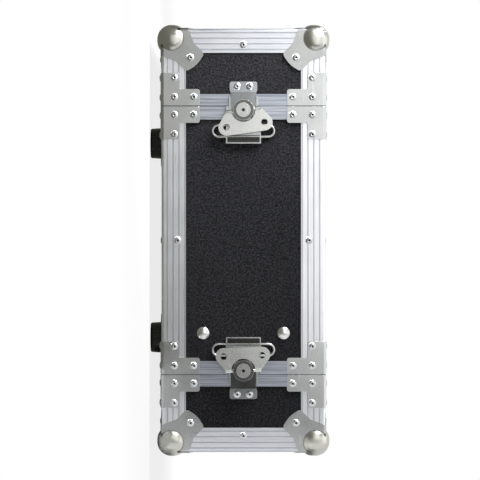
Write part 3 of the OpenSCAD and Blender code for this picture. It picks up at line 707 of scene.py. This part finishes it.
@dataclass
class CaseSizes:
    """The other sizes of the case that places are worked out from."""

    sheet: float = 1.2 * MM
    edge_in: float = 20.0 * MM
    ball_rivet_in: float = 36.0 * MM
    ball_r: float = 17.5 * MM
    edge_r: float = 3.0 * MM
    brace_spots: tuple = ((16.0 * MM, 35.0 * MM), (16.0 * MM, 11.0 * MM), (40.0 * MM, 11.0 * MM))
    keeper_rivets: tuple = (29.7 * MM, 7.7 * MM, -0.3 * MM)
    base_rivets: tuple = ((8.2 * MM, 12.2 * MM, 1.2 * MM), (24.0 * MM, 13.0 * MM, -0.3 * MM))

    def side(self, sx: int, y: float, z: float, lift: float = 0.0) -> Spot:
        """A spot on a side face; z is counted from the middle height."""
        return Spot((sx * (HALF_W + lift), y, MID_Z + z), (sx, 0, 0))

    def level(self, sz: int, x: float, y: float, lift: float = 0.0) -> Spot:
        """A spot on the top or the bottom."""
        return Spot((x, y, MID_Z + sz * (HALF_H + lift)), (0, 0, sz))

    def face(self, sy: int, x: float, z: float, lift: float = 0.0) -> Spot:
        """A spot on a lid's face; z is counted from the middle height."""
        return Spot((x, sy * (HALF_D + lift), MID_Z + z), (0, sy, 0))

    def brace(self, sy: int, out: int) -> list[Spot]:
        """The rivets of one joint's braces.

        Args:
            sy: Which joint.
            out: -1 on the body, 1 on the lid.

        Returns:
            The spots.
        """
        spots = []
        for across, along in self.brace_spots:
            y = sy * (JOINT_Y + out * along)
            for sx in SIDES:
                for sz in SIDES:
                    spots.append(self.side(sx, y, sz * (HALF_H - across), self.sheet))
                    spots.append(self.level(sz, sx * (HALF_W - across), y, self.sheet))
        return spots

    def body_edges(self) -> list[Spot]:
        """The rivets in the middle of the body's edges.

        Returns:
            The spots.
        """
        spots = []
        for sx in SIDES:
            for sz in SIDES:
                spots.append(self.side(sx, 0.0, sz * (HALF_H - self.edge_in)))
                spots.append(self.level(sz, sx * (HALF_W - self.edge_in), 0.0))
        return spots

    def lid(self, sy: int) -> list[Spot]:
        """All the rivets of one lid.

        Args:
            sy: -1 for the front lid, 1 for the rear lid.

        Returns:
            The spots.
        """
        spots = self.brace(sy, 1)
        y = sy * (HALF_D - self.edge_in)
        u, across, lift = self.keeper_rivets
        for sx in SIDES:
            spots.append(self.side(sx, y, 0.0))
            spots.append(self.face(sy, sx * (HALF_W - self.edge_in), 0.0))
            for v in SIDES:
                spots.append(self.side(sx, sy * (JOINT_Y - AXIS_IN + u), v * across, lift))
            for sz in SIDES:
                x, deep = sx * (HALF_W - self.ball_rivet_in), sy * (HALF_D - self.ball_rivet_in)
                z = sz * (HALF_H - self.ball_rivet_in)
                spots += [self.side(sx, deep, z, self.sheet), self.level(sz, x, deep, self.sheet),
                          self.face(sy, x, z, self.sheet)]
        for sz in SIDES:
            for step in SIDES + (0,):
                x = step * HALF_W / 2
                spots.append(self.level(sz, x, y))
                spots.append(self.face(sy, x, sz * (HALF_H - self.edge_in)))
        return spots

    def bases(self) -> list[Spot]:
        """The rivets of the four latch bases.

        Returns:
            The spots.
        """
        return [self.side(sx, sy * (JOINT_Y - AXIS_IN - u), v * across, lift)
                for u, across, lift in self.base_rivets
                for sx in SIDES for sy in SIDES for v in SIDES]


class ShapeTree(NodeMaker):
    """A node group that sets one shape on every point of a mesh and gives it its finish.

    NAME is the group's name, and SIZES are the names of its number inputs.
    """

    NAME: str
    SIZES: tuple

    def __init__(self) -> None:
        """Builds the whole group."""
        super().__init__(bpy.data.node_groups.new(self.NAME, "GeometryNodeTree"))
        face = self.tree.interface
        face.new_socket("Geometry", in_out="INPUT", socket_type="NodeSocketGeometry")
        kinds = {size: "NodeSocketFloat" for size in self.SIZES}
        kinds |= {"Seed": "NodeSocketInt", "Finish": "NodeSocketMaterial"}
        self.ids = {key: face.new_socket(key, in_out="INPUT", socket_type=kind).identifier
                    for key, kind in kinds.items()}
        face.new_socket("Geometry", in_out="OUTPUT", socket_type="NodeSocketGeometry")
        outputs = self.tree.nodes.new("NodeGroupInput").outputs
        self.given = {socket.name: Wire(self, socket) for socket in outputs if socket.name}
        self.position = self.node("GeometryNodeInputPosition")
        self._close()

    def shape(self) -> Wire:
        """The shape that stands on each point."""
        raise NotImplementedError

    def turn(self) -> Wire:
        """The rotation of the shape on each point."""
        raise NotImplementedError

    def own(self, name: str) -> Wire:
        """A vector that the points carry."""
        return self.node("GeometryNodeInputNamedAttribute", {"data_type": "FLOAT_VECTOR"},
                         {"Name": name})

    def moved(self, geometry: Wire, parts: Sequence[Value]) -> Wire:
        """Moves every vertex to a new place."""
        return self.node("GeometryNodeSetPosition", None,
                         {"Geometry": geometry, "Position": self.joined(parts)})

    def _close(self) -> None:
        """Sets the shape on the points, makes it real and gives it its finish."""
        copies = self.node("GeometryNodeInstanceOnPoints", None,
                           {"Points": self.given["Geometry"], "Instance": self.shape(),
                            "Rotation": self.turn()})
        real = self.node("GeometryNodeRealizeInstances", None, {0: copies})
        painted = self.node("GeometryNodeSetMaterial", None,
                            {"Geometry": real, "Material": self.given["Finish"]})
        self.node("NodeGroupOutput", None, {0: painted})

    def place(self, name: str, spots: Sequence[Spot], values: dict) -> Piece:
        """Makes the points and sets the shape on them.

        Args:
            name: Name of the new piece.
            spots: Where the shape stands.
            values: The group's inputs by name.

        Returns:
            The new piece, with its modifier live.
        """
        mesh = bpy.data.meshes.new(name)
        mesh.from_pydata([spot.place for spot in spots], [], [])
        out = mesh.attributes.new("out", "FLOAT_VECTOR", "POINT")
        for index, spot in enumerate(spots):
            out.data[index].vector = spot.out
        piece = new_piece(name, mesh)
        fit = piece.modifiers.new("shape", "NODES")
        fit.node_group = self.tree
        for key, value in values.items():
            fit[self.ids[key]] = value
        return piece


class RivetTree(ShapeTree):
    """A domed rivet head with its hole."""

    NAME = "rivet_heads"
    SIZES = ("Head Radius", "Head Height", "Hole Radius", "Hole Depth")
    CORNERS = 22
    RINGS = 9
    BULGE = 2.4
    FLATTENING = 0.8
    LEAN = (0.05, 0.05, 3.0)

    def shape(self) -> Wire:
        """A ringed disc, raised to a dome with a hole.

        Returns:
            The head, which marks its hole, where shade is painted.
        """
        size = self.given
        disc = self.node("GeometryNodeMeshCylinder", {"fill_type": "NGON"},
                         {"Vertices": self.CORNERS, "Side Segments": 1, "Fill Segments": self.RINGS,
                          "Radius": size["Head Radius"], "Depth": MM})
        x, y, z = self.parts(self.position)
        radius = (x * x + y * y) ** 0.5
        share = radius / size["Head Radius"]
        dome = size["Head Height"] * (1.0 - share ** self.BULGE).most(0.0) ** self.FLATTENING
        hole = radius < size["Hole Radius"]
        upper = z > 0.0
        lifted = self.moved(disc, (x, y, upper * (dome - hole * size["Hole Depth"])))
        marked = self.node("GeometryNodeStoreNamedAttribute",
                           {"data_type": "FLOAT", "domain": "POINT"},
                           {"Geometry": lifted, "Name": "pit_shade", "Value": hole * upper})
        return self.node("GeometryNodeSetShadeSmooth", None, {0: marked})

    def turn(self) -> Wire:
        """Points the head outwards, and spins and leans it at random.

        Returns:
            The rotation.
        """
        aim = self.node("FunctionNodeAlignRotationToVector", {"axis": "Z"},
                        {"Vector": self.own("out")})
        spin = self.node("FunctionNodeRandomValue", {"data_type": "FLOAT_VECTOR"},
                         {0: tuple(-most for most in self.LEAN), 1: self.LEAN,
                          "Seed": self.given["Seed"]})
        return self.node("FunctionNodeRotateRotation", {"rotation_space": "LOCAL"},
                         {0: aim, 1: spin})


class BallTree(ShapeTree):
    """A pressed ball for the corner where +X, +Y and +Z faces meet, about its own middle."""

    NAME = "pressed_balls"
    SIZES = ("Ball Radius", "Ball Depth", "Steepness", "Sheet", "Fillet", "Edge Radius")
    GRID = 45
    LEG_REACH = (11.0 * MM, 8.0 * MM)
    UNDER_CASE = 0.2 * MM
    OPEN_SIDE = 2.0 * MM

    def shape(self) -> Wire:
        """A round ball outwards, with steep walls where it meets its legs.

        Returns:
            The skin of the ball, without what the case hides.
        """
        size = self.given
        cube = self.node("GeometryNodeMeshCube", None, {"Size": (2.0, 2.0, 2.0)} | {
            f"Vertices {axis}": self.GRID for axis in "XYZ"})
        even = [self.node("ShaderNodeMath", {"operation": "TANGENT"}, {0: part * (math.pi / 4)})
                for part in self.parts(self.position)]
        way = self.parts(self.node("ShaderNodeVectorMath", {"operation": "NORMALIZE"},
                                   {0: self.joined(even)}))
        outward = sum((part.most(0.0) ** 2.0 for part in way), 0.0) ** 0.5
        inward = sum((part.least(0.0) ** 2.0 for part in way), 0.0) ** 0.5
        steep = size["Steepness"]
        reach = (outward ** steep + inward ** steep) ** (1.0 / steep)
        skin = [part * size["Ball Radius"] / reach for part in way]
        flared = list(skin)
        plate = size["Ball Depth"] + size["Sheet"]
        for axis in range(3):
            one, two = (axis + 1) % 3, (axis + 2) % 3
            height = ((skin[axis] - plate) / size["Fillet"]).most(0.0).least(1.0)
            hollow = 1.0 - (1.0 - (1.0 - height) ** 2.0).most(0.0) ** 0.5
            on_leg = skin[one].most(skin[two]).fit(*self.LEG_REACH)
            across = (skin[one] ** 2.0 + skin[two] ** 2.0).most(1e-9) ** 0.5
            push = hollow * on_leg * size["Fillet"] / across
            for other in (one, two):
                flared[other] = flared[other] + skin[other] * push
        ball = self.moved(cube, flared)
        here = self.parts(self.position)
        past = [(part - (size["Ball Depth"] - size["Edge Radius"])).most(0.0) ** 2.0
                for part in here]
        above = sum(past, 0.0) ** 0.5 - size["Edge Radius"]
        inner = here[0].least(here[1]).least(here[2]) < self.OPEN_SIDE
        hidden = (above < -self.UNDER_CASE) * inner
        shown = self.node("GeometryNodeDeleteGeometry", {"domain": "FACE"},
                          {"Geometry": ball, "Selection": hidden})
        return self.node("GeometryNodeSetShadeSmooth", None, {0: shown})

    def turn(self) -> Wire:
        """Turns the ball to its corner."""
        return self.node("FunctionNodeEulerToRotation", None, {0: self.own("out")})


@dataclass
class RivetHeads:
    """The rivets of one body that stand for one construction node."""

    tree: RivetTree
    name: str
    body: str
    node: str
    spots: Sequence[Spot]
    finish: Material
    radius: float = 4.75 * MM
    height: float = 1.7 * MM
    hole: float = 1.3 * MM
    depth: float = 1.5 * MM
    seed: int = 3

    def build(self) -> None:
        """Makes the heads."""
        piece = self.tree.place(self.name, self.spots, {
            "Head Radius": self.radius, "Head Height": self.height, "Hole Radius": self.hole,
            "Hole Depth": self.depth, "Seed": self.seed, "Finish": self.finish})
        finished(piece)
        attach(piece, self.body)
        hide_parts(self.node)
        LOG.info("%d rivets in %s", len(self.spots), self.name)


@dataclass
class BallCorners:
    """The four ball corners of one lid: flat legs, and a fuller pressed ball on each."""

    tree: BallTree
    body: str
    sy: int
    sizes: CaseSizes
    legs: Material
    skin: Material
    steepness: float = 2.7
    fillet: float = 1.0 * MM
    slack: float = 0.05 * MM

    def on_ball(self, point: Vector) -> bool:
        """Whether a point is on the node's plain ball, and not on a leg.

        Args:
            point: A point of the node.

        Returns:
            True on the ball and its foot.
        """
        s = self.sizes
        out = Vector((abs(point.x) - HALF_W, abs(point.y) - HALF_D, abs(point.z - MID_Z) - HALF_H))
        off = (out + Vector((BALL_DEEP,) * 3)).length
        return off < s.ball_r + self.slack or max(out) > s.sheet + self.slack

    def corner(self, sx: int, sz: int) -> Spot:
        """The middle of a ball, with the turn that brings its round side outwards.

        Args:
            sx: Which side.
            sz: Top or bottom.

        Returns:
            The spot; its second value holds Euler angles.
        """
        signs = (sx, self.sy, sz)
        turned = Matrix.Diagonal(signs)
        if sx * self.sy * sz < 0:
            turned = turned @ Matrix(((0, 1, 0), (1, 0, 0), (0, 0, 1)))
        place = (sx * (HALF_W - BALL_DEEP), self.sy * (HALF_D - BALL_DEEP),
                 MID_Z + sz * (HALF_H - BALL_DEEP))
        return Spot(place, tuple(turned.to_euler()))

    def build(self) -> None:
        """Makes the legs and the balls."""
        node = f"{self.body}_ball_corners"
        SoftenedPart(node, self.body, self.legs, "zinc_steel", 0.4 * MM,
                     left_out=self.on_ball).build()
        s = self.sizes
        spots = [self.corner(sx, sz) for sx in SIDES for sz in SIDES]
        piece = self.tree.place(f"{self.body}_balls", spots, {
            "Ball Radius": s.ball_r, "Ball Depth": BALL_DEEP, "Steepness": self.steepness,
            "Sheet": s.sheet, "Fillet": self.fillet, "Edge Radius": s.edge_r, "Finish": self.skin})
        wall = piece.modifiers.new("wall", "SOLIDIFY")
        wall.thickness = s.sheet
        wall.offset = -1.0
        finished(piece)
        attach(piece, self.body)
        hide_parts(node)
        LOG.info("balls of %s", self.body)


# Sub-assemblies


def made(finish: Finish) -> Material:
    """A field that holds the finish's material."""
    return field(default_factory=finish.material)


@dataclass
class Finishes:
    """Every material of the case, made once."""

    laminate: Material = made(Laminate())
    edge_depth: Material = made(DrawnAluminium("drawn_aluminium_depth", Grain.DEPTH))
    edge_face: Material = made(DrawnAluminium(
        "drawn_aluminium_face", Grain.HEIGHT, Bars.FACE, srgb(204, 207, 214), srgb(228, 230, 236),
        groove_dust_and_shade=0.35))
    frame_metal: Material = made(DrawnAluminium(
        "frame_aluminium", Grain.HEIGHT, Bars.FRAME, srgb(146, 151, 161), srgb(190, 195, 205)))
    zinc: Material = made(ZincSteel(
        "zinc_steel", srgb(186, 188, 188), srgb(212, 213, 212), 0.29))
    legs: Material = made(LegSteel(
        "leg_zinc", srgb(168, 170, 170), srgb(198, 199, 197), 0.29))
    ball_zinc: Material = made(ZincSteel(
        "ball_zinc", srgb(184, 184, 177), srgb(210, 210, 203), 0.3))
    bright: Material = made(ZincSteel(
        "bright_nickel", srgb(208, 209, 207), srgb(228, 229, 226), 0.28))
    base: Material = made(BaseSteel(
        "base_steel", srgb(176, 179, 180), srgb(212, 213, 212), 0.26))
    cap: Material = made(TurnedSteel(
        "turned_steel", srgb(196, 198, 197), srgb(232, 233, 231), 0.24))
    keeper: Material = made(ZincSteel(
        "keeper_zinc", srgb(164, 169, 173), srgb(206, 210, 213), 0.3, 0.02 * MM))
    draw: Material = made(ZincSteel(
        "draw_zinc", srgb(134, 137, 138), srgb(174, 177, 178), 0.3))
    # A darker copy of the draw zinc, as painted shade on the front latches' draw plates
    shaded_draw: Material = made(ZincSteel(
        "shaded_draw_zinc", srgb(62, 63, 62), srgb(112, 114, 114), 0.3))
    rivet: Material = made(RivetMetal())
    rubber: Material = made(FootRubber())
    coat: Material = made(PowderCoat())


@dataclass
class CaseBody:
    """The open box between the lids, with its rails and feet."""

    finishes: Finishes
    sizes: CaseSizes
    tree: RivetTree
    body: str = "case_body"

    def panels(self) -> None:
        """Dresses the four panels."""
        for side in ("top", "bottom", "left", "right"):
            dress(frame["nodes"][f"body_{side}_panel"], self.finishes.laminate)

    def metal(self) -> None:
        """Makes the edge extrusions, closing frames and corner braces."""
        f = self.finishes
        for part, finish, slot, edge in (
                ("edge_extrusions", f.edge_depth, "extrusion", 0.15 * MM),
                ("front_frame", f.frame_metal, "extrusion", 0.2 * MM),
                ("rear_frame", f.frame_metal, "extrusion", 0.2 * MM),
                ("corner_braces", f.zinc, "zinc_steel", 0.35 * MM)):
            SoftenedPart(f"body_{part}", self.body, finish, slot, edge).build()

    def rivets(self) -> None:
        """Makes the body's rivets and those of the latch bases."""
        spots = self.sizes.brace(-1, -1) + self.sizes.brace(1, -1) + self.sizes.body_edges()
        RivetHeads(self.tree, "body_rivet_heads", self.body, "body_rivets", spots,
                   self.finishes.rivet).build()
        RivetHeads(self.tree, "base_rivet_heads", self.body, "latch_base_rivets",
                   self.sizes.bases(), self.finishes.rivet, 3.2 * MM, 1.0 * MM, 0.8 * MM,
                   0.8 * MM, 5).build()

    def rails_and_feet(self) -> None:
        """Dresses the rack rails with their bolts, and the feet with their screws."""
        f = self.finishes
        for node, finish, slot, edge in (
                ("left_rack_rail", f.coat, "rail_steel", 0.25 * MM),
                ("right_rack_rail", f.coat, "rail_steel", 0.25 * MM),
                ("rail_bolts", f.bright, "zinc_steel", 0.4 * MM),
                ("rubber_feet", f.rubber, "rubber", 0.6 * MM)):
            SoftenedPart(node, self.body, finish, slot, edge).build()
        for name in ("rail_nuts", "foot_washers", "foot_screws"):
            dress(frame["nodes"][name], f.zinc)

    def build(self) -> None:
        """Makes the whole body."""
        self.panels()
        self.metal()
        self.rivets()
        self.rails_and_feet()
        LOG.info("case body")


@dataclass
class LiftOffLid:
    """One lid: panels, extrusions, closing frame, ball corners, keepers."""

    end: str
    sy: int
    finishes: Finishes
    sizes: CaseSizes
    tree: RivetTree
    balls: BallTree

    @property
    def body(self) -> str:
        """The lid's body."""
        return f"{self.end}_lid"

    def panels(self) -> None:
        """Dresses the face panel and the walls."""
        for part in ("panel", "walls"):
            dress(frame["nodes"][f"{self.body}_{part}"], self.finishes.laminate)

    def metal(self) -> None:
        """Makes the extrusions, the frame, the braces, the ball corners and the keepers."""
        f = self.finishes
        # Front lid keepers get the darker draw zinc as painted shade
        keeper = f.draw if self.sy < 0 else f.keeper
        for part, finish, slot, edge in (
                ("depth_extrusions", f.edge_depth, "extrusion", 0.15 * MM),
                ("face_extrusions", f.edge_face, "extrusion", 0.15 * MM),
                ("frame", f.frame_metal, "extrusion", 0.2 * MM),
                ("corner_braces", f.zinc, "zinc_steel", 0.35 * MM),
                ("keepers", keeper, "zinc_steel", 0.4 * MM)):
            SoftenedPart(f"{self.body}_{part}", self.body, finish, slot, edge).build()
        BallCorners(self.balls, self.body, self.sy, self.sizes, f.legs, f.ball_zinc).build()

    def rivets(self) -> None:
        """Makes the lid's rivets."""
        RivetHeads(self.tree, f"{self.body}_rivet_heads", self.body, f"{self.body}_rivets",
                   self.sizes.lid(self.sy), self.finishes.rivet, seed=7 + self.sy).build()

    def build(self) -> None:
        """Makes the whole lid."""
        self.panels()
        self.metal()
        self.rivets()
        LOG.info("%s lid", self.end)


@dataclass
class ButterflyLatch:
    """One latch: base, wire, draw plate, rotor with its pin, and wings."""

    name: str
    finishes: Finishes

    def build(self) -> None:
        """Makes the latch's pieces on their bodies."""
        f = self.finishes
        # Front latches get the darker copy as painted shade
        plate = f.shaded_draw if self.name.startswith("front") else f.draw
        for part, body, finish, edge in (
                ("base", "case_body", f.base, 0.3 * MM),
                ("wire", "case_body", f.bright, 0.1 * MM),
                ("draw_plate", f"{self.name}_draw", plate, 0.25 * MM),
                ("rotor", f"{self.name}_turner", f.cap, 0.4 * MM),
                ("pin", f"{self.name}_turner", f.bright, 0.2 * MM),
                ("wings", f"{self.name}_wing_plate", f.bright, 0.4 * MM)):
            SoftenedPart(f"{self.name}_{part}", body, finish, "zinc_steel", edge).build()
        LOG.info("latch %s", self.name)


@dataclass
class Studio:
    """Floor, surroundings, cards, lamps and camera."""

    floor_half: float = 9.0
    floor_pale: float = 0.9
    glow_reach: tuple = (0.25, 1.1)
    glow_share: tuple = (0.82, 1.0)
    distance: float = 3.0
    field_m: float = 0.5914
    sensor: float = 36.0
    aim_y: float = 0.0004
    aim_z: float = 0.1118
    lit: tuple = (0.0, 0.0, 0.12)
    fill: float = 0.13

    def floor(self) -> None:
        """Makes the pale floor, which keeps the shadow."""
        mesh = bpy.data.meshes.new("floor")
        reach, pale = self.floor_half, self.floor_pale
        mesh.from_pydata([(-reach, -reach, 0), (reach, -reach, 0), (reach, reach, 0),
                          (-reach, reach, 0)], [], [(0, 1, 2, 3)])
        floor = new_piece("floor", mesh)
        g = Graph("pale_floor")
        path = g.node("ShaderNodeLightPath", output="Is Camera Ray")
        matt = g.node("ShaderNodeBsdfDiffuse", None, {"Color": (pale, pale, pale, 1.0)})
        glow = g.node("ShaderNodeEmission", None, {"Color": (1.0, 1.0, 1.0, 1.0), "Strength": 1.0})
        off = g.node("ShaderNodeVectorMath", {"operation": "LENGTH"}, {0: g.place}, "Value")
        both = g.node("ShaderNodeMixShader", None,
                      {0: path * off.fit(*self.glow_reach, *self.glow_share), 1: matt, 2: glow})
        g.node("ShaderNodeOutputMaterial", None, {"Surface": both})
        mesh.materials.append(g.material)

    def world(self) -> None:
        """Makes the surroundings, white where seen or mirrored and softer where they light."""
        world = bpy.data.worlds.new("studio")
        world.use_nodes = True
        world.node_tree.nodes.clear()
        sky = NodeMaker(world.node_tree)
        seen = sky.node("ShaderNodeLightPath", output="Is Camera Ray")
        for ray in ("Is Glossy Ray", "Is Transmission Ray"):
            seen = seen.most(sky.node("ShaderNodeLightPath", output=ray))
        back = sky.node("ShaderNodeBackground", None, {
            "Color": (1.0, 1.0, 1.0, 1.0), "Strength": self.fill + seen * (1.0 - self.fill)})
        sky.node("ShaderNodeOutputWorld", None, {"Surface": back})
        bpy.context.scene.world = world

    def card(self, name: str, middle: tuple, across: tuple, up: tuple, grey: float,
             warm: float = 1.0) -> None:
        """Stands a plain card beside the case, which shows only in its metal.

        Args:
            name: Name of the card.
            middle: Its middle.
            across: Half of its width, as a vector.
            up: Half of its height, as a vector.
            grey: Its shade.
            warm: Its blue as a share of its red.
        """
        m, a, u = Vector(middle), Vector(across), Vector(up)
        mesh = bpy.data.meshes.new(name)
        mesh.from_pydata([m - a - u, m + a - u, m + a + u, m - a + u], [], [(0, 1, 2, 3)])
        g = Graph(name)
        mirrored = g.node("ShaderNodeLightPath", output="Is Glossy Ray")
        clear = g.node("ShaderNodeBsdfTransparent")
        cloth = g.node("ShaderNodeEmission", None, {"Color": (grey, grey, grey * warm, 1.0)})
        both = g.node("ShaderNodeMixShader", None, {0: mirrored, 1: clear, 2: cloth})
        g.node("ShaderNodeOutputMaterial", None, {"Surface": both})
        mesh.materials.append(g.material)
        new_piece(name, mesh)

    def cards(self) -> None:
        """Stands the cards that give the metal its contrast, some dark and some bright."""
        self.card("card_rear", (-0.9, 1.2, 1.1), (1.7, 0.0, 0.0), (0.0, 0.0, 1.1), 0.12)
        self.card("card_past", (-2.6, -0.2, 1.1), (0.0, 2.2, 0.0), (0.0, 0.0, 1.1), 0.1)
        self.card("card_bright", (-2.5, 0.66, 0.7), (0.0, 0.6, 0.0), (0.0, 0.0, 0.7), 1.45)
        self.card("card_high", (-1.0, 0.3, 0.5), (0.0, 0.5, 0.0), (0.0, 0.0, 0.35), 1.6)
        self.card("card_low", (-1.3, 0.62, 0.002), (1.6, 0.0, 0.0), (0.0, 0.78, 0.0), 0.22, 0.86)
        self.card("card_table", (-0.46, -0.275, 0.25), (0.19, 0.0, 0.0), (0.0, 0.0, 0.25), 1.1)

    def lamp(self, name: str, place: tuple, power: float, size: float) -> None:
        """Adds one soft square lamp that faces the case.

        Args:
            name: Name of the lamp.
            place: Where it stands.
            power: Watts.
            size: Length of its sides.
        """
        light = bpy.data.lights.new(name, "AREA")
        light.shape = "RECTANGLE"
        light.size = light.size_y = size
        light.energy = power
        holder = bpy.data.objects.new(name, light)
        holder.location = place
        way = Vector(self.lit) - Vector(place)
        holder.rotation_euler = way.to_track_quat("-Z", "Y").to_euler()
        bpy.context.scene.collection.objects.link(holder)

    def lamps(self) -> None:
        """Adds the soft lamps."""
        self.lamp("overhead_lamp", (-0.5, 0.2, 2.2), 5.5, 1.6)
        self.lamp("key_lamp", (-0.46, 0.63, 0.46), 11.0, 0.34)

    def camera(self) -> None:
        """Adds the camera: square to the left side, a quarter turn over, as in the photograph."""
        data = bpy.data.cameras.new("camera")
        data.sensor_width = self.sensor
        data.lens = self.sensor * self.distance / self.field_m
        data.clip_start, data.clip_end = 0.05, 60.0
        camera = bpy.data.objects.new("camera", data)
        camera.matrix_world = Matrix((
            (0.0, 0.0, -1.0, -HALF_W - self.distance),
            (0.0, 1.0, 0.0, self.aim_y),
            (1.0, 0.0, 0.0, self.aim_z),
            (0.0, 0.0, 0.0, 1.0)))
        bpy.context.scene.collection.objects.link(camera)
        bpy.context.scene.camera = camera

    def build(self) -> None:
        """Makes the whole studio."""
        self.camera()
        self.floor()
        self.world()
        self.cards()
        self.lamps()
        bpy.context.scene.view_settings.view_transform = "Standard"
        LOG.info("studio")


def main() -> None:
    """Builds the camera and studio, then every sub-assembly in order."""
    logging.basicConfig(level=logging.INFO)
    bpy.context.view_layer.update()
    Studio().build()
    finishes, sizes, tree, balls = Finishes(), CaseSizes(), RivetTree(), BallTree()
    CaseBody(finishes, sizes, tree).build()
    for end, sy in (("front", -1), ("rear", 1)):
        LiftOffLid(end, sy, finishes, sizes, tree, balls).build()
        for side in ("left", "right"):
            ButterflyLatch(f"{end}_{side}_latch", finishes).build()


if __name__ == "__main__":
    main()
